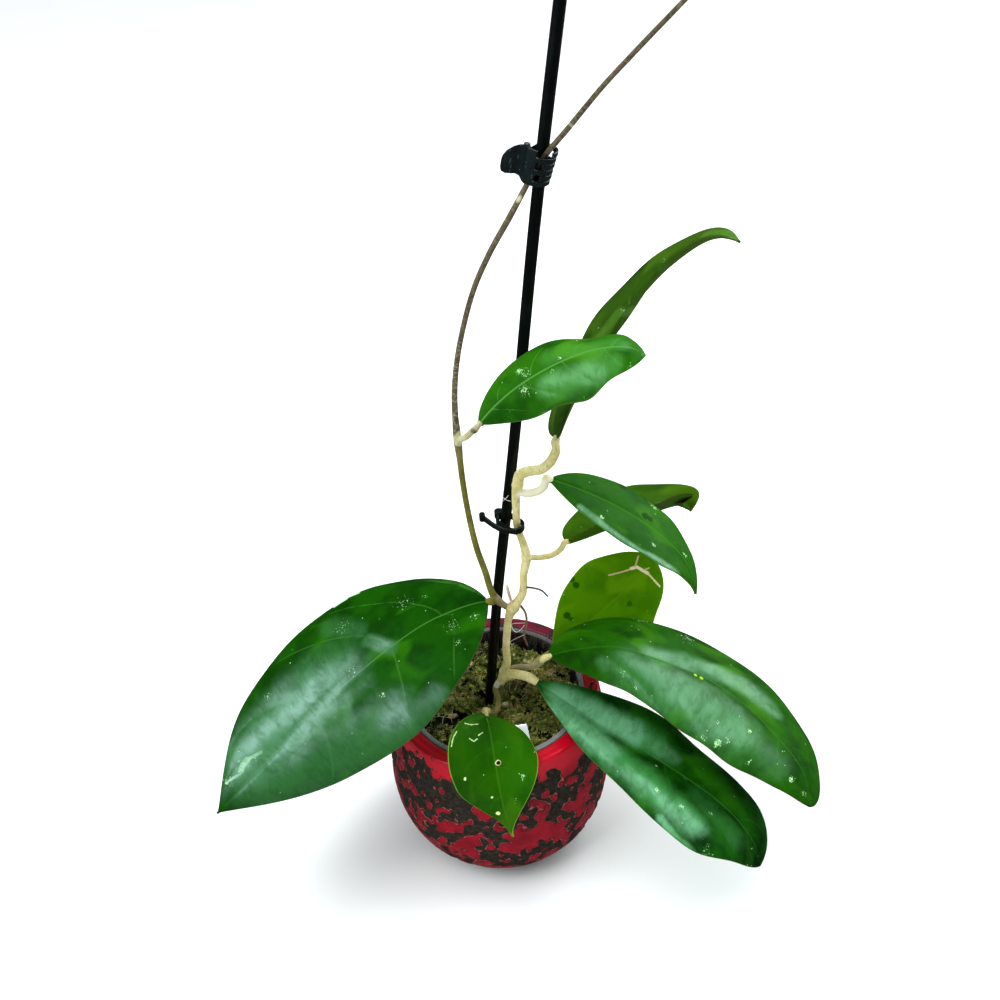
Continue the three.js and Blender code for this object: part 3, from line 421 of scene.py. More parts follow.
# The form and look of each blade. rib holds the four control points of its middle line, faces the way it
# faces at its base and tip, and swell how its two sides differ from the plain outline. veins holds where the
# side veins leave the rib, on its two sides, and sweep how far towards the tip they run. puff lifts the blade
# between them, bulge lifts each half, and billow is a slow unevenness. Colours are screen colours, rib_tone
# also the one of the veins, and the colour laid over the polished places is a painted sheen. gloss is how
# much light a polished place sends back.
PLAIN_LEAF = dict(
    waves=4, wave_height=0.35, veins=([0.2, 0.45, 0.7], [0.2, 0.45, 0.7]), sweep=(0.3, 0.3), puff=0.15,
    bulge=0.2, billow=0.3,
)
LEAVES = {
    "leaf_large_left": dict(
        rib=[[-0.5, -4, 159], [-44.4, -10, 162], [-101.7, -47.8, 113.6], [-134.9, -66.2, 90.6]],
        faces=[[-0.35, 0.01, 0.94], [-0.03, -0.8, 0.6]], width=87.7, round_base=0.64, point_tip=1.1, fold=0,
        droop=0.18, swell=[[-0.04, -0.06, 0, -0.02], [0.03, -0.07, 0.03, -0.03]], deep=(8, 52, 0),
        mid=(16, 70, 0), light=(40, 104, 4), rib_tone=(70, 122, 46), margin=(80, 66, 50), painted_sheen=(40, 104, 40),
        sheen=(0.72, 0.9, 1.0, 1), gloss=1.0, veins=([0.13, 0.338, 0.6, 0.8], [0.165, 0.338, 0.57, 0.77]),
        sweep=(0.1, 0.3), puff=0.8, bulge=0.5, billow=0.8,
    ),
    "leaf_small_front": dict(
        rib=[[-5, -30, 108], [-1, -56.8, 101.8], [-0.9, -64.7, 89.5], [4.8, -69.4, 63.6]],
        faces=[[0.61, -0.09, 0.78], [-0.5, -0.87, 0.02]], width=44.8, round_base=0.57, point_tip=1.32,
        fold=0.23, droop=0.02, swell=[[-0.03, -0.05, -0.02, 0.01], [0.13, 0.05, 0.06, 0.04]],
        deep=(24, 74, 0), mid=(34, 88, 0), light=(52, 104, 0), rib_tone=(56, 112, 14), margin=(124, 172, 50),
        painted_sheen=(44, 96, 4), sheen=(0.6, 1.0, 0.7, 1), gloss=0.1, veins=([0.2, 0.4, 0.62], [0.25, 0.45, 0.65]),
        sweep=(0.25, 0.25),
    ),
    "leaf_lower_right": dict(
        rib=[[20.4, -12.4, 110.7], [73.6, -42.3, 82.5], [121.9, -62.2, 71.1], [125.7, -77, 38.2]],
        faces=[[0.32, -0.13, 0.94], [0.59, -0.22, 0.78]], width=58.7, round_base=0.81, point_tip=0.71,
        fold=0.15, droop=0.05, swell=[[-0.28, 0.13, 0.04, -0.01], [0.27, -0.01, -0.01, 0.05]],
        deep=(2, 38, 0), mid=(16, 74, 2), light=(40, 106, 10), rib_tone=(46, 106, 40), margin=(60, 84, 40),
        painted_sheen=(52, 134, 56), sheen=(0.55, 1.0, 0.8, 1), gloss=1.0,
        veins=([0.12, 0.34, 0.56, 0.76], [0.2, 0.42, 0.64, 0.82]), sweep=(0.25, 0.25), puff=0.5, bulge=0.5,
        billow=0.8,
    ),
    "leaf_upper_right": dict(
        rib=[[27.8, -10.8, 126.1], [82.3, 10.4, 127], [153.5, -30.3, 88], [149.8, -66.9, 69.1]],
        faces=[[0.17, 0.06, 0.98], [0.67, -0.25, 0.7]], width=66.8, round_base=0.62, point_tip=0.61, fold=0,
        droop=0.17, swell=[[-0.03, 0.02, 0.06, 0.02], [0.03, -0.09, -0.03, -0.02]], deep=(12, 54, 0),
        mid=(26, 80, 0), light=(56, 118, 0), rib_tone=(40, 96, 12), margin=(62, 52, 34), painted_sheen=(46, 112, 38),
        sheen=(0.62, 1.0, 0.88, 1), gloss=0.55, veins=([0.15, 0.36, 0.58, 0.78], [0.12, 0.33, 0.52, 0.74]),
        sweep=(0.25, 0.25), puff=0.5, bulge=0.6, billow=0.8,
    ),
    "leaf_upright_back": dict(
        rib=[[31.2, 20, 98.9], [58.1, 30.1, 115.6], [67.4, 33.1, 119], [85.5, 46.2, 137.2]],
        faces=[[-0.03, -0.86, 0.52], [0.05, -0.76, 0.64]], width=48.2, round_base=0.79, point_tip=0.58,
        fold=0.1, droop=0.12, swell=[[0.06, 0.08, 0.03, 0.03], [-0.08, -0.17, -0.28, -0.12]],
        deep=(58, 112, 0), mid=(72, 126, 0), light=(98, 148, 8), rib_tone=(84, 136, 10),
        margin=(140, 158, 40), painted_sheen=(98, 148, 8), sheen=(0.8, 1.0, 0.6, 1), gloss=0.08, sweep=(0.2, 0.2),
        puff=0.1, billow=0.6,
    ),
    "leaf_middle_right": dict(
        rib=[[31.1, 0.7, 227.4], [62.7, -1.7, 214.5], [95.5, -10.7, 193.3], [95.2, -25.1, 175.9]],
        faces=[[0.23, -0.16, 0.96], [0.92, -0.1, 0.38]], width=38.1, round_base=0.75, point_tip=0.8,
        fold=0.09, droop=0.12, swell=[[-0.02, -0.04, 0.03, 0.02], [0.06, 0.03, 0.02, 0.02]], deep=(18, 70, 0),
        mid=(30, 86, 0), light=(48, 108, 0), rib_tone=(50, 112, 6), margin=(60, 96, 16), painted_sheen=(44, 116, 40),
        sheen=(0.7, 1.0, 0.85, 1), gloss=1.0, veins=([0.15, 0.4, 0.65], [0.2, 0.45, 0.7]), bulge=0.4,
    ),
    "leaf_rear_right": dict(
        rib=[[39, 11, 181], [67.5, 34.6, 168.6], [108.7, 83.1, 151.5], [106.6, 56.3, 158.1]],
        faces=[[-0.1, 0.58, 0.81], [-0.18, 0.25, 0.95]], width=38.1, round_base=0.61, point_tip=0.84,
        fold=0.47, droop=0, swell=[[0.21, -0.04, 0, -0.02], [-0.02, -0.07, 0.08, 0.1]], deep=(28, 62, 0),
        mid=(42, 78, 0), light=(62, 98, 4), rib_tone=(60, 92, 10), margin=(66, 60, 22), painted_sheen=(80, 112, 16),
        sheen=(0.7, 1.0, 0.7, 1), gloss=0.2,
    ),
    "leaf_upper_light": dict(
        rib=[[1.4, -10.6, 268], [19.6, -3.5, 289.5], [60.3, -6.8, 308], [70.6, -11.2, 296.9]],
        faces=[[-0.4, -0.76, 0.52], [-0.11, 0.1, 0.99]], width=32.2, round_base=0.66, point_tip=0.49,
        fold=-0.16, droop=0.22, wave_height=1.2, waves=3,
        swell=[[-0.09, 0.08, 0.04, -0.09], [0.05, 0.13, -0.03, 0.08]], deep=(20, 70, 4), mid=(36, 98, 6),
        light=(66, 134, 10), rib_tone=(88, 146, 66), margin=(70, 96, 40), painted_sheen=(64, 136, 44),
        sheen=(0.55, 1.0, 0.7, 1), gloss=0.6, veins=([0.14, 0.323, 0.54, 0.75], [0.1, 0.28, 0.48, 0.7]),
        sweep=(0.13, 0.2), puff=0.5, bulge=0.5, billow=0.5,
    ),
    "leaf_top_narrow": dict(
        rib=[[35, 8, 244.5], [53.3, 35.1, 275.9], [99, 64.1, 324.4], [115.8, 33.7, 322.4]],
        faces=[[-0.89, -0.02, 0.45], [-0.15, 0.41, 0.9]], width=44, round_base=0.44, point_tip=1, fold=0.27,
        droop=0.06, swell=[[-0.06, -0.13, 0, -0.11], [-0.24, -0.39, -0.24, -0.25]], deep=(30, 62, 6),
        mid=(44, 78, 10), light=(64, 100, 14), rib_tone=(86, 120, 50), margin=(52, 60, 24),
        painted_sheen=(74, 124, 30), sheen=(0.7, 1.0, 0.6, 1), gloss=0.5, bulge=0.3,
    ),
}
# The marks below lie at pixels of the photograph, with widths in millimetres. Polished places, which also
# take a painted sheen colour, and places with painted sheen where the lamps' reflection doesn't reach are
# (half width, strength, pixels along the middle), clusters of pale flecks (x, y, radius, how full), spots
# (x, y, radius, colour), and scratches and scars (half width, colour, pixels along them).
LEAF_POLISH_AND_SHEEN = {
    "leaf_large_left": [
        (15, 1.0, [(330, 677), (302, 708), (274, 738), (246, 766)]),
        (12, 1.0, [(398, 722), (366, 738), (328, 758), (292, 776), (262, 788)]),
        (6, 0.6, [(420, 712), (440, 700)]), (3.0, 0.9, [(392, 648), (368, 641)]),
        (5, 0.55, [(356, 630), (330, 627)]), (6, 0.5, [(232, 770), (246, 792), (290, 786)]),
    ],
    "leaf_lower_right": [
        (7, 0.7, [(556, 692), (575, 703), (605, 718), (634, 730), (654, 742)]),
        (8, 0.9, [(556, 704), (586, 730), (614, 756), (646, 778), (668, 800), (690, 818)]),
        (2.5, 0.8, [(661, 818), (675, 840), (690, 852)]), (6, 0.35, [(700, 800), (735, 835)]),
    ],
    "leaf_upper_right": [
        (5.0, 1.0, [(652, 655), (691, 663), (724, 675), (750, 690), (772, 708)]),
        (12, 1.0, [(634, 676), (676, 692), (706, 712), (736, 734)]), (8, 0.45, [(750, 742), (775, 768)]),
        (4.0, 0.6, [(604, 664), (640, 671)]),
    ],
    "leaf_middle_right": [(1.7, 0.9, [(580, 508), (608, 530), (640, 553), (674, 578)])],
    "leaf_upper_light": [
        (5.0, 1.0, [(548, 388), (566, 381), (588, 373), (610, 364)]),
        (3.5, 0.6, [(548, 356), (568, 350), (594, 348), (620, 345)]),
    ],
    "leaf_top_narrow": [(2.2, 0.7, [(597, 340), (618, 312), (640, 288)]), (3, 1.0, [(708, 234), (735, 236)])],
}
# Painted sheen: a pale bluish green laid where the lamps' reflection doesn't reach, such as under a leaf above
LEAF_PAINTED_SHEEN = {
    "leaf_large_left": [(10, 0.3, [(318, 690), (280, 732), (250, 764)])],
    "leaf_lower_right": [
        (6, 0.75, [(560, 696), (580, 706), (604, 717), (634, 732)]), (4, 0.3, [(648, 740), (672, 756)]),
        (6, 0.55, [(560, 708), (584, 728), (608, 748)]),
    ],
}
LEAF_FLECKS = {
    "leaf_large_left": [
        (348, 597, 4, 0.6), (405, 603, 6, 0.45), (343, 627, 5, 0.5), (474, 616, 3, 0.6), (452, 627, 5, 0.5),
        (458, 642, 1.8, 0.8), (242, 768, 5, 0.55), (228, 781, 4, 0.6), (382, 695, 1.6, 0.8),
        (352, 671, 4, 0.5), (269, 697, 3, 0.6), (425, 597, 2.4, 0.5),
    ],
    "leaf_small_front": [(523, 777, 2.2, 0.65), (515, 800, 2, 0.6), (488, 720, 2, 0.5), (452, 741, 1.6, 0.7)],
    "leaf_lower_right": [
        (656.5, 790, 1.8, 0.95), (681, 806.5, 2.2, 0.85), (710.5, 813, 2, 0.7), (656.5, 765.5, 1, 0.9),
        (706, 850, 4, 0.5), (684, 778, 2, 0.5),
    ],
    "leaf_upper_right": [
        (718, 743, 3, 1.0), (704, 738.5, 3, 0.7), (728, 741, 2.4, 0.75), (750, 731, 1.6, 0.9),
        (749, 762, 2.4, 0.65), (791, 779.5, 2.2, 1.0), (804, 793.6, 2.0, 0.9), (636, 687, 2.2, 0.65),
        (622, 673, 3, 0.55), (641, 620, 4, 0.7), (687, 638, 5, 0.6), (635, 628, 4, 0.5), (661, 655, 3, 0.5),
        (718, 723, 1.4, 0.8),
    ],
    "leaf_upright_back": [(570, 563, 3, 0.4), (590, 566, 3, 0.4)],
    "leaf_middle_right": [
        (602, 518, 1.6, 0.9), (654, 545, 1.6, 0.9), (685, 555, 1.6, 0.9), (654, 507, 2.6, 0.75),
        (620, 482, 3, 0.5),
    ],
    "leaf_rear_right": [(662, 499, 3, 0.6)],
    "leaf_upper_light": [
        (519.5, 371, 2, 0.95), (526, 373, 3, 0.65), (524, 390, 3, 0.8), (552, 371, 1.4, 0.8),
        (560, 357.6, 1.2, 0.8), (529, 384, 1.6, 0.6), (489, 388, 1.6, 0.5), (611, 355, 2, 0.4),
        (545, 414, 1.6, 0.6), (510, 410, 1.6, 0.5), (630, 366, 2, 0.5),
    ],
    "leaf_top_narrow": [(664, 260, 2, 0.6), (661, 270, 2, 0.7), (636, 301, 2, 0.5), (622, 309, 2, 0.6)],
}
LEAF_SPOTS = {
    "leaf_small_front": [
        (498, 762.8, 1.35, (214, 210, 160)), (498.4, 763, 1.0, (40, 10, 6)),
        (498, 813.4, 1.1, (214, 236, 150)), (465, 779, 0.7, (214, 236, 180)),
        (492, 797.3, 0.6, (200, 228, 160)),
    ],
    "leaf_upper_right": [(695.4, 675, 1.0, (150, 186, 4)), (701.4, 678, 1.1, (150, 186, 4))],
    "leaf_upright_back": [
        (572, 579, 1.7, (34, 84, 0)), (576, 585, 1.9, (30, 78, 0)), (629.6, 604, 1.5, (40, 92, 0)),
        (567, 615.5, 2.0, (30, 80, 0)), (571, 619, 1.2, (34, 86, 0)),
    ],
    "leaf_middle_right": [
        (623, 487, 2, (16, 62, 0)), (639, 493.6, 1.9, (14, 56, 0)), (644, 498, 1.6, (14, 56, 0)),
        (645.5, 516, 2.0, (18, 62, 2)), (650, 519, 1.6, (18, 62, 2)),
    ],
}
LEAF_SCRATCHES = {
    "leaf_large_left": [
        (1.0, (176, 228, 168), [(335, 606), (340, 602.5), (346, 599)]),
        (0.5, (176, 228, 168), [(349, 597), (359, 593)]),
        (0.8, (180, 230, 186), [(261, 752), (254, 756), (248, 759)]),
        (1.5, (180, 230, 186), [(247, 760), (243, 765), (241, 770)]),
        (0.6, (180, 230, 186), [(240, 774), (233, 778), (226, 783)]),
    ],
    "leaf_small_front": [
        (0.2, (206, 232, 168), [(464.8, 723.2), (471, 724.8), (478.2, 724.1)]),
        (0.22, (206, 232, 168), [(451.4, 746.4), (453, 738), (456.8, 731.3)]),
        (0.2, (206, 232, 168), [(469.3, 738.4), (473.8, 741.4), (477.3, 738.9)]),
        (0.2, (206, 232, 168), [(478.4, 735.5), (482.7, 732.5)]),
    ],
    "leaf_upright_back": [
        (0.42, (204, 180, 132), [(609, 575.2), (624.2, 571.3), (635, 567)]),
        (0.8, (232, 216, 184), [(631, 568.5), (637, 567), (647.9, 573.4)]),
        (0.45, (216, 196, 150), [(647.9, 573.4), (659.8, 586.4)]),
        (0.4, (206, 180, 128), [(635, 567), (638.2, 556.2)]),
        (0.32, (206, 180, 128), [(643.6, 570.2), (649, 568)]),
    ],
}
# The colour of the painted sheen where the lamps' reflection doesn't reach, then that of the pale flecks
PAINTED_SHEEN_TONE = (112, 172, 132)
FLECK = (176, 226, 160)


def blade_half(leaf, u, v):
    p = leaf["round_base"] / (leaf["round_base"] + leaf["point_tip"])
    plain = (u / p) ** leaf["round_base"] * ((1 - u) / (1 - p)) ** leaf["point_tip"]
    swollen = 1.0
    for i, (left, right) in enumerate(zip(*leaf["swell"])):
        swollen = swollen + np.where(v < 0, left, right) * np.sin((i + 1) * math.pi * u)
    least = BASE_HALF_WIDTH + (TIP_HALF_WIDTH - BASE_HALF_WIDTH) * u
    return np.maximum(leaf["width"] / 2 * plain * swollen, least)


def blade_rib(leaf, u):
    a, b, c, d = np.array(leaf["rib"], float)
    u = u[:, None]
    w = 1 - u
    place = w ** 3 * a + 3 * w ** 2 * u * b + 3 * w * u ** 2 * c + u ** 3 * d
    along = 3 * (w ** 2 * (b - a) + 2 * w * u * (c - b) + u ** 2 * (d - c))
    return place, unit(along)


def billows(along, across, seed):
    """Slow unevenness from a few crossing waves, between about -1 and 1."""
    draw = np.random.default_rng(seed)
    total = 0
    for _ in range(BILLOWS):
        turn, phase = draw.uniform(0, 2 * math.pi, 2)
        turns_per_mm = 2 * math.pi / draw.uniform(*BILLOW_LENGTHS)
        total = total + np.sin((along * math.cos(turn) + across * math.sin(turn)) * turns_per_mm + phase)
    return total / 3


def vein_phase(swept, starts):
    """Counts the side veins passed, from where each leaves the rib."""
    marks = [starts[0] - 0.25, *starts, starts[-1] + 0.25]
    return np.interp(swept, marks, np.arange(len(marks)))


def blade(name, leaf, seed):
    t = np.linspace(0, 1, BLADE_STEPS + 1)
    u = 0.6 * t + 0.4 * (1 - np.cos(math.pi * t)) / 2
    place, along = blade_rib(leaf, u)
    run = np.concatenate([[0], np.cumsum(np.linalg.norm(np.diff(place, axis=0), axis=1))])
    looks = np.outer(1 - u, leaf["faces"][0]) + np.outer(u, leaf["faces"][1])
    side = unit(np.cross(along, looks))
    up = np.cross(side, along)

    v_top = np.sin(np.linspace(-math.pi / 2, math.pi / 2, BLADE_SPANS + 1))
    v = np.concatenate([v_top, v_top[-2:0:-1]])
    upper = np.concatenate([np.ones(BLADE_SPANS + 1), -np.ones(BLADE_SPANS - 1)])
    ring = len(v)
    U, V = np.meshgrid(u, v, indexing="ij")
    RUN = np.repeat(run[:, None], ring, 1)
    out = np.abs(V)
    half = blade_half(leaf, U, V)
    across = half * V

    def inside_ends(rise):
        return np.clip(np.minimum(U, 1 - U) * rise, 0, 1)

    swept = U - np.where(V < 0, *leaf["sweep"]) * out ** VEIN_LEAN
    phase = np.where(V < 0, *(vein_phase(swept, starts) for starts in leaf["veins"]))
    between = phase - np.floor(phase)
    vein_gap = np.minimum(between, 1 - between) * VEIN_SPACING
    rib_gap = np.abs(across)
    fade = np.clip((1 - out) * 4, 0, 1) * inside_ends(8)
    puffed = leaf["puff"] * (4 * between * (1 - between)) ** 0.8 * fade * (1 - np.exp(-rib_gap / 4))
    groove = -0.25 * leaf["puff"] * np.exp(-(vein_gap / VEIN_WIDTH) ** 2) * fade
    rib_groove = -0.45 * np.exp(-(rib_gap / RIB_WIDTH) ** 2) * np.clip((1 - U) * 3, 0, 1)
    rib_ridge = -0.7 * np.exp(-(rib_gap / (1.4 * RIB_WIDTH)) ** 2) * np.clip((1 - U) * 3, 0, 1)
    slow = leaf["billow"] * billows(RUN, across, seed) * inside_ends(6)
    wave = leaf["wave_height"] * V ** 2 * np.sin(U * math.pi) * np.sin(2 * math.pi * leaf["waves"] * U + V)
    bulge = leaf["bulge"] * np.sin(math.pi * out) * inside_ends(5)
    relief = puffed + groove + slow + bulge + np.where(upper > 0, rib_groove, rib_ridge)
    thickness = BLADE_THICKNESS + (EDGE_THICKNESS - BLADE_THICKNESS) * out
    thickness = thickness * np.sqrt(np.clip(1 - out ** 30, 0, 1))
    height = half * (leaf["fold"] * out - leaf["droop"] * V ** 2) + wave + relief + upper * thickness / 2
    points = place[:, None] + side[:, None] * across[..., None] + up[:, None] * height[..., None]
    points = points.reshape(-1, 3)

    faces = ring_faces(BLADE_STEPS + 1, ring)
    for first in (0, BLADE_STEPS * ring):
        for j in range(BLADE_SPANS):
            corners = [first + j, first + j + 1, first + (ring - j - 1) % ring, first + (ring - j) % ring]
            corners = list(dict.fromkeys(corners))
            faces.append(corners[::-1] if first else corners)
    made = mesh_object(name + "_blade", points, faces)
    spread = np.stack([RUN, across, upper[None] * np.ones_like(U)], -1).reshape(-1, 3)
    add_vectors(made, "leaf_place", spread)
    add_vectors(made, "leaf_form", np.stack([phase, half * (1 - out), U], -1).reshape(-1, 3))
    face_outwards(made)
    visible = spread[:, 2] > 0
    return made, (seen_at(points[visible]), spread[visible])


def spot_at(chart, pixel):
    """The place on a blade that is seen at a pixel of the photograph."""
    pixels, places = chart
    away = pixels - pixel
    near = np.argsort((away ** 2).sum(1))[:9]
    terms = np.column_stack([away[near], np.ones(len(near))])
    place = np.linalg.lstsq(terms, places[near], rcond=None)[0][2]
    return np.array([place[0], place[1], 1.0])


def fleck_field(paint, place, chart, flecks):
    """How strongly pale flecks gather at each place: 1 at the middle of a full cluster."""
    total = 0.0
    for x, y, radius, full in flecks:
        gap = paint.distance(place, spot_at(chart, (x, y)))
        total = paint.most(total, paint.times(paint.step(gap, radius * 1.7, radius * 0.2), full))
    return total


def polish_and_sheen_field(paint, place, chart, strokes):
    """How strongly the strokes cover each place, from 0 to 1, for the polished places and the painted sheen."""
    total = 0.0
    wander = paint.times(paint.plus(paint.noise(place, 0.11, 3.0, 0.6), -0.5), 5.0)
    for radius, strength, pixels in strokes:
        gap = paint.route_gap(place, [spot_at(chart, pixel) for pixel in pixels])
        gap = paint.plus(gap, paint.times(wander, radius / 5))
        total = paint.most(total, paint.times(paint.step(gap, radius * 1.7, radius * 0.35), strength))
    return total


def leaf_material(name, leaf, chart):
    paint = Skin(name + "_skin")
    place = paint.attribute("leaf_place")
    _, across, upper = paint.split(place)
    phase, edge, u = paint.split(paint.attribute("leaf_form"))
    over = paint.math("GREATER_THAN", upper, 0.0)

    broad = paint.noise(place, 0.045, 3.0, 0.6)
    colour = paint.blend(paint.step(broad, 0.35, 0.62), leaf["deep"], leaf["mid"])
    patches = paint.noise(paint.scaled(place, (0.03, 0.055, 0.1)), 1.0, 2.0, 0.5, 0.4)
    colour = paint.lay(colour, leaf["light"], paint.step(patches, 0.54, 0.72), 0.7)
    mottle = paint.noise(place, 0.5, 3.0, 0.7)
    colour = paint.lay(colour, leaf["light"], paint.step(mottle, 0.55, 0.8), 0.18)
    colour = paint.lay(colour, leaf["deep"], paint.step(mottle, 0.42, 0.25), 0.3)

    # Side veins, the rib and the margin
    turn = paint.math("FRACT", paint.plus(phase, 0.5))
    vein_gap = paint.math("ABSOLUTE", paint.plus(turn, -0.5))
    vein = paint.step(vein_gap, 0.5 / VEIN_SPACING * 1.8, 0.0)
    wobble = paint.step(paint.noise(place, 0.2, 2.0), 0.3, 0.55)
    vein = paint.times(paint.times(vein, wobble), paint.step(edge, 1.0, 6.0))
    colour = paint.lay(colour, leaf["rib_tone"], vein, 0.42)
    rib = paint.step(paint.math("ABSOLUTE", across), 0.62, 0.12)
    colour = paint.lay(colour, leaf["rib_tone"], paint.times(rib, paint.step(u, 1.0, 0.75)), 0.7)
    colour = paint.lay(colour, leaf["margin"], paint.step(edge, 0.6, 0.1), 0.75)

    # Spots, scratches and scars, with uneven edges
    ragged = paint.times(paint.plus(paint.noise(place, 1.1, 3.0, 0.7), -0.5), 0.9)
    for x, y, radius, tone in LEAF_SPOTS.get(name, []):
        gap = paint.distance(place, spot_at(chart, (x, y)))
        gap = paint.plus(gap, paint.times(ragged, min(radius, 2.0)))
        colour = paint.lay(colour, tone, paint.step(gap, radius * 1.12, radius * 0.8))
    for radius, tone, pixels in LEAF_SCRATCHES.get(name, []):
        gap = paint.plus(paint.route_gap(place, [spot_at(chart, pixel) for pixel in pixels]), ragged)
        colour = paint.lay(colour, tone, paint.step(gap, radius * 1.3, radius * 0.7))

    # Pale flecks: fine spatter within each cluster, nearly solid where a cluster is full
    field = fleck_field(paint, place, chart, LEAF_FLECKS[name])
    spatter = paint.noise(place, 1.15, 3.0, 0.7, 0.6)
    flecks = paint.step(paint.plus(paint.times(field, 0.28), spatter), 0.735, 0.775)
    flecks = paint.times(flecks, paint.math("GREATER_THAN", field, 0.04))
    stray = paint.step(paint.cells(place, 0.22), 0.085, 0.05)
    stray = paint.times(stray, paint.step(paint.noise(place, 0.06, 1.0), 0.48, 0.56))
    flecks = paint.times(paint.most(flecks, paint.times(stray, 0.8)), over)
    colour = paint.lay(colour, FLECK, flecks, 0.85)
    colour = paint.blend(over, paint.blend(0.5, colour, leaf["light"]), colour)

    # A brushed, pitted skin, glossier where it is polished, with painted sheen over the polished places
    polish_and_sheen = polish_and_sheen_field(paint, place, chart, LEAF_POLISH_AND_SHEEN.get(name, []))
    streak = paint.noise(paint.scaled(place, (0.22, 0.11, 0.3)), 1.0, 4.0, 0.65, 0.5)
    polish_and_sheen = paint.times(paint.times(polish_and_sheen, paint.value(paint.step(streak, 0.32, 0.6), 0.62, 1.0)), over)
    # Painted sheen: the polished places take a lighter colour that stands in for the lamps' reflection
    colour = paint.lay(colour, leaf["painted_sheen"], polish_and_sheen, paint.value(flecks, 0.75, 0.0))
    # Painted sheen, pale bluish green, where the lamps' reflection doesn't reach
    painted_sheen_mask = polish_and_sheen_field(paint, place, chart, LEAF_PAINTED_SHEEN.get(name, []))
    painted_sheen_mask = paint.times(painted_sheen_mask, paint.value(paint.step(streak, 0.3, 0.6), 0.5, 1.0))
    colour = paint.lay(colour, PAINTED_SHEEN_TONE, painted_sheen_mask, over)
    level = paint.value(polish_and_sheen, 0.04, leaf["gloss"])
    rough = paint.value(polish_and_sheen, 0.5, 0.32)
    grain = paint.noise(paint.scaled(place, (0.4, 0.2, 0.3)), 1.0, 4.0, 0.6, 0.4)
    normal = paint.bump(grain, 0.25, 0.4)
    shine = {"Specular_IOR_Level": level, "Specular_Tint": leaf["sheen"]}
    return paint.finish(colour, rough, normal, IOR=1.5, **shine)


def make_leaves():
    slots = {row["node"]: row["material_slot"] for row in frame["record"]["subparts"]}
    for number, (name, own) in enumerate(LEAVES.items()):
        leaf = {**PLAIN_LEAF, **own}
        made, chart = blade(name, leaf, FIRST_LEAF_SEED + number)
        dress(made, leaf_material(name, leaf, chart), PLANT, slots[name], name)


# Stems, as (x, y, z, radius) points

LEAF_STALK_SINK = 1.2
STALK_SIDES = 18
KNOB_LEAST = 2.25
KNOB_SWELL = 1.12
TRUNK = [
    [1.8, 0.5, 52, 1.9], [1.8, 0.2, 84, 1.9], [2.3, -2.5, 97, 2], [3.6, -4.6, 106, 2.2],
    [5.3, -5, 111.5, 2.6], [6.8, -4.8, 117, 2], [6.9, -4.2, 127, 1.9], [7.7, -3.5, 136.5, 1.9],
    [8.9, -2.5, 145.6, 1.9], [11.4, -2, 152.3, 3.1], [14, -1.5, 156, 2.2], [16.5, -1, 161, 2],
    [17.2, 0, 171, 1.9], [19, 1, 181.7, 2.4], [17.6, 2, 190.6, 1.8], [15.5, 4.1, 197.4, 1.75],
    [15.4, 3.5, 208, 1.8], [15.7, 3, 218, 2.1], [16.6, 2.5, 224, 2.6], [18, 2.8, 229.5, 2.5],
    [22, 3.5, 230.6, 2.4], [27.5, 4.5, 230.6, 2.35], [32, 6, 233.5, 2.3], [34.8, 7, 239, 2.2],
]
# Leaf stalks as radius, how far before the blade the last bend lies, and points
STALKS = {
    "leaf_small_front": (1.6, 2.2, [[3.6, -4.6, 106], [0.4, -8.5, 103.6], [1.2, -14, 100.6],
                                    [0.6, -19, 99.6], [-1.8, -23, 101.2], [-4.4, -24.8, 104.8]]),
    "leaf_lower_right": (2.4, 3, [[2.9, -5, 103.5], [5, -8, 110.2], [9.1, -9, 113.2], [13.8, -10, 113.3]]),
    "leaf_upper_right": (1.7, 2.5, [[5.3, -5, 111.5], [11, -4.5, 113], [17.5, -5, 113.6],
                                    [22.4, -7.4, 117.6]]),
    "leaf_upright_back": (1.5, 3, [[5.3, -5, 111.5], [9, -1, 104], [17, 7, 100], [24, 14, 99]]),
    "leaf_middle_right": (1.9, 1.5, [[16, 2.8, 220.5], [20.5, 1.2, 219.9], [25.3, 0.7, 221],
                                     [28.2, 0.7, 223.4]]),
    "leaf_rear_right": (1.45, 1.6, [[19, 1, 181.7], [25.1, 4, 178.3], [31.4, 6, 177.6], [35.9, 8.5, 178.9]]),
    "leaf_top_narrow": (2, 1.5, [[32, 6, 233.5], [34.6, 6.8, 238.5]]),
}
VINE_STALKS = {
    "leaf_large_left": (2, 1.5, [[3.8, -0.5, 156.8], [2.1, -2.6, 158.4]]),
    "leaf_upper_light": (1.45, 3, [[-8.7, 1.5, 251.4], [-4.7, -3, 256.3], [-1.6, -7.2, 262.3]]),
}
AERIAL_ROOTS = {
    "stub": [[12, -2, 152, 0.9], [10.3, -2.6, 159, 0.8], [9.1, -4, 168.5, 0.7]],
    "curl": [[17, -0.6, 164, 0.6], [21.2, -3, 165.4, 0.5], [25.4, -4, 164.3, 0.5], [28.4, -5, 161, 0.45]],
    "thread": [[14, -1.7, 155, 0.7], [17.2, -2, 148.5, 0.6], [17.5, -1, 138.7, 0.5], [16, 0, 131.6, 0.5],
               [17.6, 1, 122.7, 0.45]],
}
# Hair-thin pale rootlets on the long root and a few by the ring clip
ROOTLETS = [
    [[17, -1.5, 141, 0.16], [10.5, -1, 140.2, 0.16], [10.8, -1, 136.5, 0.18], [12.5, -1, 134.5, 0.18],
     [14.7, -1, 136.2, 0.16], [16.5, -0.5, 138.5, 0.14]],
    [[16.2, -0.5, 132, 0.14], [9.2, -1.5, 128.4, 0.14], [9.9, -1.5, 126.5, 0.16], [10.9, -1.5, 127.6, 0.14]],
    [[9.2, 4.5, 216.2, 0.14], [11, 4.3, 214.3, 0.17], [13, 4.4, 213.2, 0.14]],
    [[12.2, 4.6, 216.6, 0.12], [10.6, 4.3, 214.8, 0.16], [9.4, 4.6, 213.4, 0.12]],
]
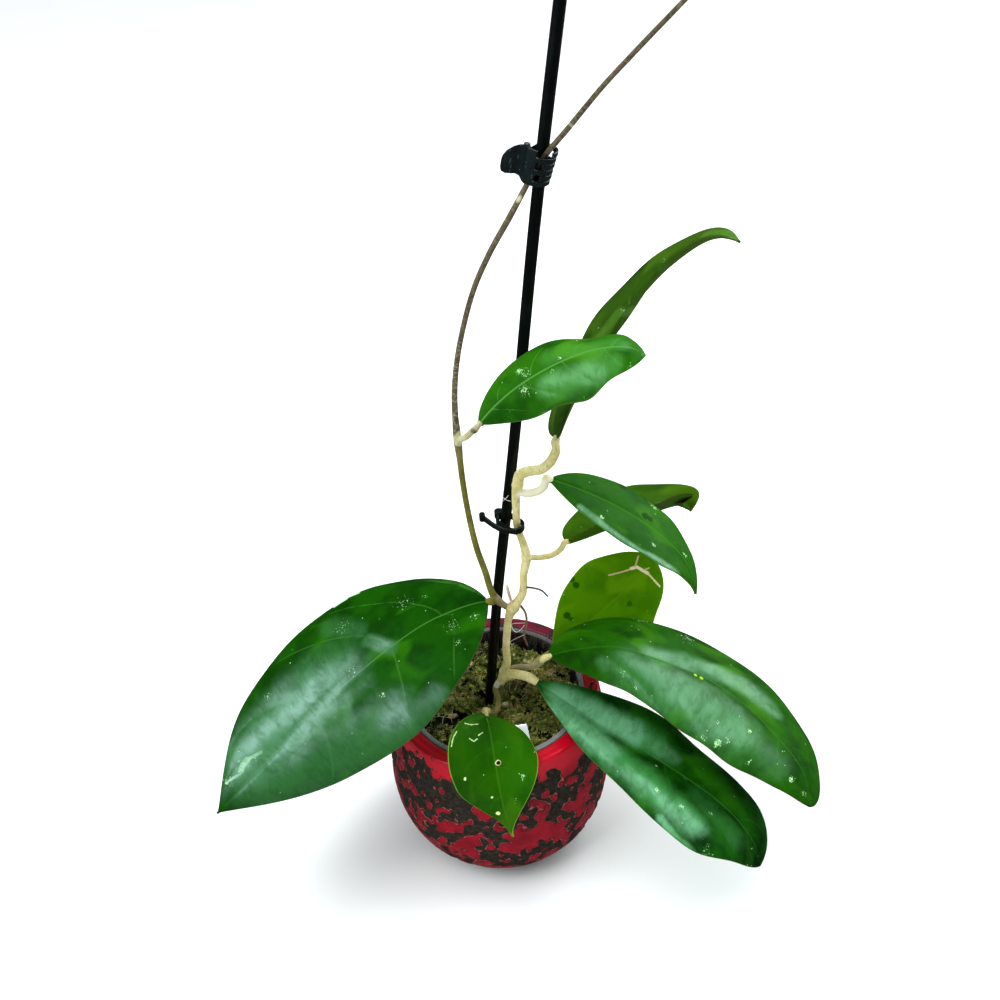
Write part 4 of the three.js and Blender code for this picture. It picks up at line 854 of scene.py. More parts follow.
# The vine's first point lies in the main stem's joint
VINE = [
    [10.2, -1.7, 152.3, 1.7], [8, -1.2, 152.7, 1.6], [6.3, -0.7, 154, 1.7], [3.8, -0.5, 156.8, 2.2],
    [1.6, -0.5, 162, 1.65], [-0.7, 0, 174.3, 1.6], [-4, 0, 190, 1.5], [-6.7, 0.5, 211.8, 1.4],
    [-8, 1, 229.5, 1.4], [-8.4, 1, 241.3, 1.45], [-8.7, 1.5, 251.4, 2], [-8.9, 2, 263.8, 1.4],
    [-8.3, 3, 276.6, 1.35], [-6.6, 4, 289, 1.25], [-3.3, 5, 303.7, 1.2], [2.9, 7, 322.9, 1.2],
    [10.3, 9, 337.7, 1.25], [18.5, 10.8, 351, 1.3],
]
VINE_IN_CLIP = [[3.3, 2.5, -7.4], [0.5, 2.8, 0], [-2.6, 1.95, 7.2]]
VINE_IN_CLIP_RADIUS = 1.15
TRUNK_VOXEL = 0.34
VINE_VOXEL = 0.3
ROOT_BUMPS = 0.08
VINE_ABOVE_CLIP = [
    [41.9, 15, 383.6, 1.15], [47.5, 16.5, 389.5, 1.1], [56, 18.5, 398.4, 1.05], [67.4, 20.5, 409.2, 1.05],
    [79, 22, 420.1, 1], [90.5, 24, 430.2, 0.95], [103.5, 26, 439, 0.8], [118.5, 28, 446, 0.5],
]
# Barks as deep, middle and pale colour, the colour of the speckles and how much they show
BARKS = {
    "cream": ((132, 114, 56), (200, 188, 120), (226, 216, 156), (100, 78, 36), 0.75),
    "top_bend": ((140, 122, 56), (204, 194, 128), (224, 216, 158), (96, 76, 34), 0.85),
    "muddy": ((84, 76, 52), (126, 120, 84), (160, 152, 116), (60, 50, 30), 0.6),
    "foot": ((70, 66, 24), (112, 108, 48), (150, 142, 84), (64, 54, 22), 0.35),
    "olive": ((58, 56, 12), (92, 90, 22), (122, 118, 48), (142, 134, 74), 0.2),
    "brown": ((44, 36, 22), (72, 62, 44), (96, 84, 62), (150, 142, 112), 0.35),
    "vine_stalk": ((112, 104, 66), (160, 152, 108), (192, 186, 148), (84, 70, 40), 0.4),
    "root_stub": ((158, 118, 96), (206, 172, 146), (228, 206, 184), (158, 118, 96), 0.4),
    "root_curl": ((34, 30, 28), (62, 56, 52), (96, 88, 80), (34, 30, 28), 0.4),
    "root_thread": ((58, 38, 26), (96, 68, 48), (132, 102, 76), (58, 38, 26), 0.4),
    "rootlet": ((170, 160, 146), (204, 196, 184), (228, 222, 212), (170, 160, 146), 0.4),
}
# Patches on the bark as a point or the ends of a line, reach, core, how much they show where that isn't all,
# and bark or colour
YOUNG_STALK = ([(19.5, 1.2, 219.8), (33, 0.7, 227)], 4.4, 3.0, 0.8, (226, 224, 198))
STALK_BEHIND = ([(11, -4.5, 113), (27, -10, 124)], 4.0, 2.8, 0.85, "muddy")
PALE_KNOB = ([(1.2, -8.2, 105.6)], 2.3, 1.3, 0.7, (232, 226, 200))
GREY_JOINT = ([(11.4, -2, 152.3)], 4.6, 2.6, 0.45, (150, 134, 104))
FRONT_STALK = ((0.8, -9, 103), (-2, -24, 101))
PALE_VINE_STALK = ([(-8, 0.5, 252.4), (1.4, -10.6, 268)], 3.6, 2.6, None, "vine_stalk")
LOW_RING = ([(22.5, 10.8, 358.7)], 2.6, 1.56, 0.9, (214, 208, 172))
HIGH_RING = ([(43.6, 15.6, 385.2)], 1.5, 0.9, 0.9, (214, 208, 172))
VINE_KNOB = ([(4.4, -0.9, 155.6)], 6.0, 3.6, 0.8, (136, 122, 92))

# The claw clip's own frame, from its hinge in the record: Z along the pin, X towards the tabs
HINGE = frame["joints"][0]
CLIP_PIVOT_X = 7.6
CLIP_TABS = np.array([-0.8396, 0.5187, 0.1614])


def in_clip(point):
    """A point of the claw clip's frame as one of the part's."""
    along = unit(np.array(HINGE["axis"], float))
    x = unit(CLIP_TABS - along * (CLIP_TABS @ along))
    axes = np.stack([x, np.cross(along, x), along])
    return np.array(HINGE["pos_m"]) / MM - CLIP_PIVOT_X * x + np.array(point, float) @ axes


def stalk_parts(table):
    parts = []
    for name, (radius, lead, route) in table.items():
        start, after = np.array(LEAVES[name]["rib"][:2], float)
        along = unit(after - start)
        ends = [[*(start - lead * along), radius * 1.04], [*(start + LEAF_STALK_SINK * along), radius * 0.8]]
        parts.append(tube([[*point, radius] for point in route] + ends, STALK_SIDES, 8))
    return parts


def node_knobs(points):
    """Low swellings where leaf stalks and shoots leave the stem."""
    knobs = [point for point in points if point[3] > KNOB_LEAST]
    return [ball(point[:3], point[3] * KNOB_SWELL, stretch=(1, 1, 0.8)) for point in knobs]


def bark(paint, name):
    deep, mid, pale, speckle, amount = BARKS[name]
    colour = paint.blend(paint.step(paint.noise(paint.place, 0.09, 3.0, 0.6), 0.35, 0.65), mid, pale)
    streak = paint.noise(paint.scaled(paint.place, (1.1, 1.1, 0.28)), 1.0, 3.0, 0.65)
    colour = paint.lay(colour, deep, paint.step(streak, 0.54, 0.7), 0.5)
    dots = paint.noise(paint.place, 2.2, 3.0, 0.75)
    return paint.lay(colour, speckle, paint.step(dots, 0.57, 0.64), amount)


def patched(paint, colour, *patches):
    for ends, reach, core, amount, tone in patches:
        tone = bark(paint, tone) if isinstance(tone, str) else tone
        colour = paint.lay(colour, tone, paint.step(paint.route_gap(paint.place, ends), reach, core), amount)
    return colour


def finish_bark(paint, colour):
    dots = paint.noise(paint.place, 2.2, 3.0, 0.75)
    warts = paint.step(paint.cells(paint.place, 1.1), 0.35, 0.1)
    height = paint.plus(paint.times(dots, 0.8), paint.times(warts, 0.35))
    rough = paint.value(paint.step(dots, 0.4, 0.6), 0.55, 0.75)
    return paint.finish(colour, rough, paint.bump(height, 0.25, 0.8), IOR=1.4, Specular_IOR_Level=0.3)


def pale_bark():
    """Cream bark, olive near the moss, nearly white on one young stalk and yellowish at the top bend."""
    paint = Skin("pale_bark")
    height = paint.split(paint.place)[2]
    colour = paint.lay(bark(paint, "cream"), bark(paint, "top_bend"), paint.step(height, 221, 227))
    colour = patched(paint, colour, YOUNG_STALK, STALK_BEHIND)
    front = paint.step(paint.line_gap(paint.place, *FRONT_STALK), 4.2, 3.0)
    colour = paint.lay(colour, bark(paint, "foot"), paint.most(paint.step(height, 103.5, 99.0), front))
    return finish_bark(paint, patched(paint, colour, PALE_KNOB, GREY_JOINT))


def vine_bark():
    """Olive bark, brown-grey and mottled above the upper leaf, with two pale rings by the claw clip."""
    paint = Skin("vine_bark")
    height = paint.split(paint.place)[2]
    mottle = paint.step(paint.noise(paint.place, 0.8, 3.0, 0.7), 0.5, 0.62)
    middle = paint.times(paint.step(height, 248, 258), paint.step(height, 310, 290))
    mottled = paint.value(middle, 0.25, 0.75)
    brown = paint.lay(bark(paint, "brown"), (158, 150, 122), mottle, mottled)
    colour = paint.lay(bark(paint, "olive"), brown, paint.step(height, 236, 262))
    # Painted shade: the bark inside the claw clip is nearly black, where the jaws shade it
    painted_clip_shade = ([in_clip([0.5, 2.8, 0])], 9, 6, 0.85, (24, 20, 14))
    colour = patched(paint, colour, PALE_VINE_STALK, painted_clip_shade, LOW_RING, HIGH_RING, VINE_KNOB)
    return finish_bark(paint, colour)


def root_bark(name):
    paint = Skin(name + "_bark")
    return finish_bark(paint, bark(paint, name))


def make_stems():
    parts = [tube(TRUNK, 22, 8), *stalk_parts(STALKS), *node_knobs(TRUNK)]
    trunk = with_skin(mesh_object("main_stem_skin", *joined_parts(parts)), TRUNK_VOXEL, 3)
    dress(trunk, pale_bark(), PLANT, "pale_stem", "main_stem")
    for name, route in AERIAL_ROOTS.items():
        root = mesh_object("aerial_root_" + name, *tube(route, 10, 10, ROOT_BUMPS))
        dress(root, root_bark("root_" + name), PLANT, "pale_stem")
    rootlets = mesh_object("rootlets", *joined_parts([tube(route, 6, 8) for route in ROOTLETS]))
    dress(rootlets, root_bark("rootlet"), PLANT, "pale_stem")
    in_jaws = [[*in_clip(point), VINE_IN_CLIP_RADIUS] for point in VINE_IN_CLIP]
    parts = [tube([*VINE, *in_jaws, *VINE_ABOVE_CLIP], 18, 8), *stalk_parts(VINE_STALKS)]
    vine = with_skin(mesh_object("vine_skin", *joined_parts(parts)), VINE_VOXEL, 2)
    dress(vine, vine_bark(), PLANT, "brown_stem", "vine")


# Stake, clips and label

STAKE_RADIUS = 2.5
STAKE_ROUTE = [
    [-10.4, 0.2, 16], [-3.3, 3.5, 83.5], [4.6, 6.9, 156], [15.7, 10.9, 239], [29.5, 16.3, 352],
    [44.1, 21.2, 455],
]
SCUFF = (110, 118, 114)
EDGE_WEAR_AND_GLINT = (88, 112, 110)
LABEL_TOP_CORNER = [14.7, -28.8, 98.4]
LABEL_LEAN = [-0.14, -0.05, 1]
LABEL_WIDTH = 13
LABEL_LENGTH = 30
LABEL_THICKNESS = 0.8
LABEL_TEAR = 0.45
LABEL_PAINTED_GLOW = 0.55
LABEL_SEED = 8
RING_CLIP_VOXEL = 0.2
CLAW_CLIP_VOXEL = 0.17


def plastic(name, colour, roughness, worn, level):
    paint = Skin(name)
    cloud = paint.noise(paint.place, 0.12, 3.0, 0.6)
    fine = paint.noise(paint.place, 1.4, 3.0, 0.6)
    tone = paint.lay(colour, worn, paint.step(cloud, 0.4, 0.75), 0.35)
    tone = paint.lay(tone, SCUFF, paint.step(fine, 0.64, 0.76), 0.1)
    rough = paint.value(paint.step(cloud, 0.3, 0.7), roughness - 0.06, roughness + 0.1)
    # Convex edges are lighter: partly wear, partly a painted highlight along the edges
    edge = paint.step(paint.add("ShaderNodeNewGeometry", {}, "Pointiness"), 0.53, 0.6)
    tone = paint.lay(tone, EDGE_WEAR_AND_GLINT, edge, 0.6)
    return paint.finish(tone, rough, paint.bump(fine, 0.05, 0.5), IOR=1.5, Specular_IOR_Level=level)


def make_stake():
    points = [[*point, STAKE_RADIUS] for point in STAKE_ROUTE]
    tip = ball(STAKE_ROUTE[-1], STAKE_RADIUS, 12, 40)
    stake = mesh_object("stake_rod", *joined_parts([tube(points, 40, 16), tip]))
    black = plastic("stake_plastic", (2, 5, 6), 0.4, (10, 18, 18), 0.22)
    dress(stake, black, PLANT, "stake_plastic", "stake")


def make_clips():
    black = plastic("ring_clip_plastic", (3, 7, 8), 0.34, (10, 20, 20), 0.4)
    dark = plastic("claw_clip_plastic", (2, 15, 16), 0.24, (8, 32, 32), 0.8)
    dress(finer_copy("ring_clip", RING_CLIP_VOXEL, 4), black, PLANT, "stake_plastic", "ring_clip")
    for node, body in (("claw_clip_front_jaw", PLANT), ("claw_clip_rear_jaw", REAR_JAW)):
        dress(finer_copy(node, CLAW_CLIP_VOXEL, 3), dark, body, "clip_plastic", node)
    paint = Skin("clip_steel")
    drawn = paint.noise(paint.scaled(paint.place, (1, 1, 8)), 1.0, 2.0)
    rough = paint.value(drawn, 0.25, 0.45)
    steel = paint.finish(linear(176, 178, 180), rough, paint.bump(drawn, 0.03, 0.5), Metallic=1.0)
    for node in ("claw_clip_pin", "claw_clip_spring"):
        frame["nodes"][node].data.materials.clear()
        frame["nodes"][node].data.materials.append(steel)


def make_label():
    """A blank label whose top and right edges are a little torn."""
    draw = np.random.default_rng(LABEL_SEED)
    shares = np.linspace(0.03, 0.97, 13)
    top = [[-LABEL_WIDTH * share, -LABEL_TEAR * (0.4 + draw.uniform(0, 1.4))] for share in shares]
    right = [[-draw.uniform(0, LABEL_TEAR), -depth] for depth in np.linspace(16, 1, 14)]
    low = [[-LABEL_WIDTH, -1.2], [-LABEL_WIDTH, -LABEL_LENGTH], [0, -LABEL_LENGTH]]
    outline = np.array([*top, *low, *right])
    up = unit(np.array(LABEL_LEAN))
    across = unit(np.array([1, 0, 0]) - up * up[0])
    back = np.cross(up, across) * LABEL_THICKNESS / 2
    sheet = np.array(LABEL_TOP_CORNER) + outline @ np.stack([across, up])
    count = len(outline)
    faces = [tuple(range(count)), tuple(range(2 * count - 1, count - 1, -1))]
    faces += turned_over(ring_faces(2, count))
    points = np.concatenate([sheet - back, sheet + back])
    label = mesh_object("plant_label_sheet", points, faces, smooth=False)
    face_outwards(label, MERGE)
    paint = Skin("label_plastic")
    stain = paint.noise(paint.place, 0.25, 4.0, 0.65)
    colour = paint.blend(paint.step(stain, 0.45, 0.8), (250, 255, 255), (226, 238, 236))
    # Painted light: the thin white plastic glows a little in place of the light that passes through it,
    # so its shaded side still looks bright
    painted_glow = {"Emission_Strength": LABEL_PAINTED_GLOW, "Emission_Color": (0.86, 0.98, 1.0, 1)}
    rough = paint.value(stain, 0.45, 0.7)
    material = paint.finish(colour, rough, paint.bump(stain, 0.1, 0.4), IOR=1.46, **painted_glow)
    dress(label, material, PLANT, "label_plastic", "plant_label")


# Pots

FOOT_RADIUS = 34
BELLY_RADIUS = 57.5
BELLY_HEIGHT = 42
RIDGE_RADIUS = 53
POT_HEIGHT = 93
MOUTH_RADIUS = 46.5
POT_WALL = 5
POT_FLOOR = 7
RIM_ROUNDING = 1.2
POT_SIDES = 340
LINER_TOP_RADIUS = 46
LINER_RIM_WIDTH = 2.8
LINER_RIM_HEIGHT = 3
LINER_TOP = 93.3
LINER_BASE_RADIUS = 33
LINER_WALL = 1
LINER_BOTTOM = POT_FLOOR + 0.3
AXIS = 0.01
GLAZE_RELIEF = 0.5
GLAZE_EDGE = 0.262
# Where the glaze lies thick, or is left off, as (pixel x, y, radius in millimetres, how much)
GLAZE_PLACES = [
    (556, 752, 5, 0.12), (570, 762, 8, 0.16), (572, 782, 5, 0.14), (524, 838, 7, 0.12), (512, 846, 6, 0.08),
    (544, 766, 4.5, 0.08), (438, 758, 8, -0.12), (418, 757, 6, -0.14), (452, 776, 6, -0.05),
    (556, 775, 3, -0.1), (446, 828, 5, 0.1), (420, 800, 3, -0.05), (412, 812, 5, 0.06), (404, 768, 4, 0.1),
    (478, 812, 5, 0.08), (592, 770, 4, 0.04), (585, 800, 5, 0.04), (560, 838, 6, 0.07),
]


def bowl_radius(height):
    if height < BELLY_HEIGHT:
        drop = 1 - height / BELLY_HEIGHT
        return FOOT_RADIUS + (BELLY_RADIUS - FOOT_RADIUS) * math.sqrt(1 - drop * drop)
    rise = (height - BELLY_HEIGHT) / (POT_HEIGHT - BELLY_HEIGHT)
    return BELLY_RADIUS * math.sqrt(1 - (1 - (RIDGE_RADIUS / BELLY_RADIUS) ** 2) * rise * rise)


def in_bowl(x, y, z):
    return z < POT_HEIGHT and math.hypot(x, y) < bowl_radius(max(z, 0))


def glaze_cover(paint, place):
    """How thick the red glaze lies: above 0 it covers the dark body. The same for shape and colour."""
    height = paint.split(place)[2]
    large = paint.times(paint.noise(place, 0.085, 0.0, 0.4, 0.2), 0.45)
    small = paint.times(paint.noise(place, 0.23, 0.0, 0.4, 0.25), 0.35)
    lobes = paint.times(paint.cells(place, 0.16, Smoothness=0.35), -0.3)
    rim = paint.times(paint.step(height, POT_HEIGHT - 9, POT_HEIGHT - 4), 0.2)
    foot = paint.times(paint.step(height, 22.0, 4.0), 0.07)
    bare = paint.times(paint.step(height, 58, 66), paint.times(paint.step(height, 86, 80), -0.035))
    cover = paint.plus(large, small, lobes, paint.plus(rim, paint.plus(foot, bare)))
    for x, y, radius, amount in GLAZE_PLACES:
        near = paint.step(paint.distance(place, first_hit((x, y), in_bowl)), radius * 1.3, radius * 0.5)
        cover = paint.plus(cover, paint.times(near, amount))
    return paint.plus(cover, -GLAZE_EDGE)


def raise_glaze(pot):
    """Lifts the surface where the glaze lies."""
    tree = bpy.data.node_groups.new("raise_glaze", "GeometryNodeTree")
    for way in ("INPUT", "OUTPUT"):
        tree.interface.new_socket("Geometry", in_out=way, socket_type="NodeSocketGeometry")
    paint = Paint(tree)
    start = tree.nodes.new("NodeGroupInput")
    end = tree.nodes.new("NodeGroupOutput")
    place = paint.add("GeometryNodeInputNamedAttribute", {"Name": "pot_place"}, data_type="FLOAT_VECTOR")
    normal = paint.add("GeometryNodeInputNormal", {})
    lift = paint.times(paint.step(glaze_cover(paint, place), -0.01, 0.02), GLAZE_RELIEF * MM)
    offset = paint.add("ShaderNodeVectorMath", {0: normal, "Scale": lift}, operation="SCALE")
    moved = paint.add("GeometryNodeSetPosition", {"Geometry": start.outputs[0], "Offset": offset})
    tree.links.new(moved, end.inputs[0])
    pot.modifiers.new("glaze", "NODES").node_group = tree
    apply_modifiers(pot)


def glaze_material():
    paint = Skin("crackled_glaze")
    place = paint.attribute("pot_place")
    cover = glaze_cover(paint, place)
    _, back, height = paint.split(place)
    red_tone = paint.noise(place, 0.12, 3.0, 0.6)
    red = paint.blend(paint.step(red_tone, 0.3, 0.7), (122, 0, 20), (156, 2, 30))
    # Painted highlight: the red is brighter towards the shoulder, which faces the overhead light
    red = paint.lay(red, (192, 4, 34), paint.step(height, 78, 86))
    earth = paint.noise(place, 0.5, 4.0, 0.7)
    dark = paint.blend(paint.step(earth, 0.35, 0.7), (30, 27, 22), (56, 50, 40))
    specks = paint.step(paint.noise(place, 1.5, 3.0, 0.7), 0.6, 0.66)
    dark = paint.lay(dark, (110, 26, 32), specks, 0.4)
    glazed = paint.step(cover, -0.004, 0.004)
    colour = paint.blend(glazed, dark, red)

    # Each blob has a deep red border and a broken pale outline
    below_rim = paint.step(height, 90.5, 88.5)
    border = paint.times(paint.step(cover, 0.045, 0.02), paint.times(glazed, below_rim))
    colour = paint.lay(colour, (92, 0, 14), border, 0.7)
    outline = paint.step(paint.math("ABSOLUTE", paint.plus(cover, -0.001)), 0.014, 0.004)
    breaks = paint.step(paint.noise(place, 0.35, 2.0, 0.6), 0.38, 0.55)
    colour = paint.lay(colour, (200, 100, 98), paint.times(paint.times(outline, breaks), below_rim), 0.6)

    # The inside and the rim are darker and browner, most of all at the back
    reach = paint.vector("LENGTH", paint.scaled(place, (1, 1, 0)), (0, 0, 0), "Value")
    rim = paint.times(paint.step(height, POT_HEIGHT - 4, POT_HEIGHT - 1), paint.step(back, 5, 35))
    worn = paint.step(paint.noise(place, 0.12, 2.0, 0.5), 0.5, 0.6)
    colour = paint.lay(colour, paint.blend(worn, (104, 22, 42), (58, 34, 38)), rim)
    within = paint.math("LESS_THAN", reach, MOUTH_RADIUS + 0.6)
    inside = paint.times(paint.step(height, POT_HEIGHT - 0.6, POT_HEIGHT - 2.0), within)
    colour = paint.lay(colour, paint.blend(red_tone, (56, 12, 26), (84, 22, 38)), inside)
    ripple = paint.times(paint.noise(place, 0.35, 2.0, 0.5), 0.35)
    fine = paint.value(glazed, paint.noise(place, 2.2, 3.0, 0.7), ripple)
    normal = paint.bump(paint.step(cover, -0.006, 0.03), 0.5, 0.6)
    normal = paint.bump(fine, 0.22, 0.7, normal)
    level = paint.value(glazed, 0.15, 0.5)
    return paint.finish(colour, paint.value(glazed, 0.8, 0.24), normal, IOR=1.5, Specular_IOR_Level=level)


def rim_bend(middle, first, last):
    """A quarter of the rim's rounding as (radius, height) points."""
    bend = []
    for angle in np.linspace(first, last, 6):
        height = POT_HEIGHT - RIM_ROUNDING + RIM_ROUNDING * math.sin(angle)
        bend.append((middle + RIM_ROUNDING * math.cos(angle), height))
    return bend


def make_cachepot():
    heights = np.concatenate([[0, 0.4], np.linspace(1, POT_HEIGHT - 1.6, 108)])
    outer = [(bowl_radius(height), height) for height in heights]
    hollow = [(r, POT_HEIGHT - 0.25 * math.sin((r - 47.7) / 4.1 * math.pi)) for r in (50.7, 49.7, 48.7)]
    rim = rim_bend(RIDGE_RADIUS - RIM_ROUNDING, 0, math.pi / 2) + hollow
    rim += rim_bend(MOUTH_RADIUS + RIM_ROUNDING, math.pi / 2, math.pi)
    inner = [(MOUTH_RADIUS, height) for height in (90, 88, 86, 84)]
    inner += [(bowl_radius(height) - POT_WALL, height) for height in (78, 60, 42)]
    inner += [(min(MOUTH_RADIUS, bowl_radius(height) - POT_WALL), height) for height in (27, 14, 9)]
    profile = [(AXIS, 0), *outer, *rim, *inner, (37, POT_FLOOR), (AXIS, POT_FLOOR)]
    points, faces = turned(profile, POT_SIDES)
    pot = mesh_object("cachepot_bowl", points, faces)
    add_vectors(pot, "pot_place", points)
    raise_glaze(pot)
    dress(pot, glaze_material(), PLANT, "pot_glaze", "cachepot")


def liner_outside(height):
    rise = (height - LINER_BOTTOM) / (LINER_TOP - LINER_BOTTOM)
    top = LINER_TOP_RADIUS - LINER_RIM_WIDTH + LINER_WALL
    return LINER_BASE_RADIUS + (top - LINER_BASE_RADIUS) * rise


def make_liner():
    under = LINER_TOP - LINER_RIM_HEIGHT
    lip = liner_outside(LINER_TOP) - LINER_WALL
    outer = [(liner_outside(height), height) for height in np.linspace(LINER_BOTTOM, under, 20)]
    edge = LINER_TOP_RADIUS
    rim = [(edge - 0.3, under), (edge, under + 0.4), (edge, LINER_TOP - 0.8), (edge - 0.35, LINER_TOP - 0.15),
           (edge - 0.9, LINER_TOP), (lip + 0.7, LINER_TOP), (lip + 0.15, LINER_TOP - 0.2)]
    heights = np.linspace(LINER_TOP - 0.7, LINER_BOTTOM + 1.5, 24)
    inner = [(liner_outside(height) - LINER_WALL, height) for height in heights]
    profile = [(AXIS, LINER_BOTTOM), *outer, *rim, *inner, (AXIS, LINER_BOTTOM + 1.5)]
    liner = mesh_object("liner_pot_cup", *turned(profile, 160))
    paint = Skin("smoky_plastic")
    dust = paint.noise(paint.scaled(paint.place, (1, 1, 0.1)), 0.5, 4.0, 0.7)
    _, back, height = paint.split(paint.place)
    top = paint.step(height, LINER_TOP - 1.2, LINER_TOP - 0.3)
    colour = paint.blend(paint.step(dust, 0.45, 0.7), (40, 42, 42), (110, 112, 108))
    colour = paint.lay(colour, paint.blend(dust, (104, 108, 108), (168, 170, 168)), top)
    cover = paint.most(paint.value(paint.step(dust, 0.4, 0.7), 0.22, 0.6), paint.times(top, 0.8))
    cover = paint.times(cover, paint.value(paint.step(back, -8, 30), 1.0, 0.45))
    rough = paint.value(dust, 0.25, 0.5)
    material = paint.finish(colour, rough, paint.bump(dust, 0.12, 0.5), IOR=1.5, Alpha=cover)
    dress(liner, material, PLANT, "liner_plastic", "liner_pot")


# Moss and bark mix

MOSS_SEED = 5
MOSS_LEVEL = 83
MOSS_CROWN = 3
MOSS_BUMP = 1.4
MOSS_RADIUS = 42
MOSS_SIDES = 150
# Radius and height of the rings of the mix below the moss
MOSS_FOOT = [(40.5, 60), (36.5, 30), (32.2, 9.3), (0.3, 9.3)]
CLUMPS = 120
CLUMP_SPRIGS = 22
CLUMP_SPREAD = 1.7
# The hollow that the moss leaves in front of the stake: middle, spread squared and depth
STAKE_HOLLOW = (-3.8, 0.0, 30, 7.5)
FIBRES = 50
CHIPS = 34
CHIP_REACH = 37
FIBRE_REACH = 38
FIBRE_LIMIT = 40.5
FIBRE_LENGTHS = (4, 11)
FIBRE_RADII = (0.1, 0.2)
PALE_FIBRE_RADIUS = 0.22
CHIP_SIZES = ((3.5, 8), (2, 4.5), (1.2, 2.6))
SPRIG_LENGTHS = (2.0, 4.6)
SPRIG_LEAFLETS = (8, 15)
LEAFLET_LENGTHS = (1.3, 2.8)
LEAFLET_HALF_WIDTHS = (0.28, 0.55)
LEAFLET_TURN = 2.4
# Bits that the photograph shows, as (pixel x, y, lengths along x, y and z in millimetres, degrees of turn)
HUSKS = [(548, 673, 8.5, 3.4, 2.2, 32), (534, 690, 5, 2.6, 1.6, 60), (453, 716, 6, 2.6, 1.5, 20),
         (470, 664, 6.5, 3, 1.6, -15), (512, 668, 5.5, 2.8, 1.6, 70), (560, 706, 5, 2.4, 1.5, -30)]
BEADS = [(505, 705, 1.9), (513, 711, 1.3), (526, 661, 1.7), (497, 709, 1.0), (466, 704, 1.1)]
PALE_FIBRES = [[(480, 703), (489, 696), (499, 700), (506, 694)], [(484, 692), (491, 699), (500, 704)],
               [(476, 698), (486, 706), (497, 703)], [(441, 702), (452, 698), (462, 701)],
               [(531, 676), (541, 671), (552, 675)]]
# The first colour is painted shade, nearly black, for the gaps between the moss sprigs
MOSS_GAP_SHADE = (20, 18, 5)
MOSS_GREEN = (96, 116, 26)
MOSS_OLIVE = (154, 158, 64)
MOSS_TAN = (226, 212, 150)


def moss_top(x, y):
    crown = MOSS_CROWN * (1 - (x * x + y * y) / LINER_TOP_RADIUS ** 2)
    bumps = np.sin(0.31 * x + 1.2) * np.cos(0.27 * y) + 0.6 * np.sin(0.62 * y + 0.45 * x)
    hollow_x, hollow_y, spread, depth = STAKE_HOLLOW
    hollow = depth * np.exp(-((x - hollow_x) ** 2 + (y - hollow_y) ** 2) / spread)
    return MOSS_LEVEL + crown + MOSS_BUMP * bumps - hollow


def on_moss(pixel, above):
    """The point above the moss that is seen at a pixel of the photograph."""
    return first_hit(pixel, lambda x, y, z: z <= moss_top(x, y) + above)


def random_place(draw, reach):
    radius = reach * math.sqrt(draw.uniform(0, 1))
    angle = draw.uniform(0, 2 * math.pi)
    return radius * np.array([math.cos(angle), math.sin(angle)])


def moss_material():
    paint = Skin("moss_sprigs_skin")
    tone, tip, _ = paint.split(paint.attribute("sprig_tone"))
    patch = paint.noise(paint.place, 0.11, 3.0, 0.65)
    share = paint.plus(paint.times(tone, 0.7), paint.times(patch, 0.4))
    # The darkest tone is painted shade: it lies on the mound between the clumps, on the lowest-toned sprigs and as
    # fine dark flecks
    colour = paint.blend(paint.step(share, 0.26, 0.36), MOSS_GAP_SHADE, MOSS_GREEN)
    colour = paint.lay(colour, MOSS_OLIVE, paint.step(share, 0.5, 0.66))
    colour = paint.lay(colour, MOSS_TAN, paint.step(share, 0.72, 0.84))
    colour = paint.lay(colour, MOSS_TAN, tip, 0.3)
    fine = paint.noise(paint.place, 2.0, 3.0, 0.7)
    colour = paint.lay(colour, MOSS_GAP_SHADE, paint.step(fine, 0.6, 0.78), 0.35)
    return paint.finish(colour, 0.8, paint.bump(fine, 0.2, 0.5), IOR=1.35)


def husk_material(name, deep, pale):
    paint = Skin(name)
    grain = paint.noise(paint.scaled(paint.place, (0.5, 1.6, 1.0)), 1.0, 3.0, 0.7)
    colour = paint.blend(paint.step(grain, 0.35, 0.65), deep, pale)
    return paint.finish(colour, 0.75, paint.bump(grain, 0.3, 0.7), IOR=1.4)


def chip(draw, middle, size, turn):
    """An uneven lump: a ball with its corners pushed about, flattened and turned."""
    points, faces = ball((0, 0, 0), 0.5, 6, 9)
    points = points * (1 + draw.uniform(-0.28, 0.28, (len(points), 1)))
    points = np.clip(points * np.array(size) * 1.15, -np.array(size) / 2, np.array(size) / 2)
    lean = draw.normal(0, 0.25, 2)
    spin = Matrix.Rotation(turn, 3, "Z")
    for angle, axis in zip(lean, "XY"):
        spin = spin @ Matrix.Rotation(angle, 3, axis)
    return points @ np.array(spin).T + middle, faces


def fibre(draw):
    middle = random_place(draw, FIBRE_REACH)
    heading = draw.uniform(0, 2 * math.pi)
    length = draw.uniform(*FIBRE_LENGTHS)
    route = []
    for i in range(4):
        place = middle + length * (i / 3 - 0.5) * np.array([math.cos(heading), math.sin(heading)])
        place = place + draw.normal(0, 0.7, 2)
        place = place * min(1.0, FIBRE_LIMIT / math.hypot(*place))
        route.append([*place, moss_top(*place) + draw.uniform(0, 1.6), draw.uniform(*FIBRE_RADII)])
    return tube(route, 5, 4)


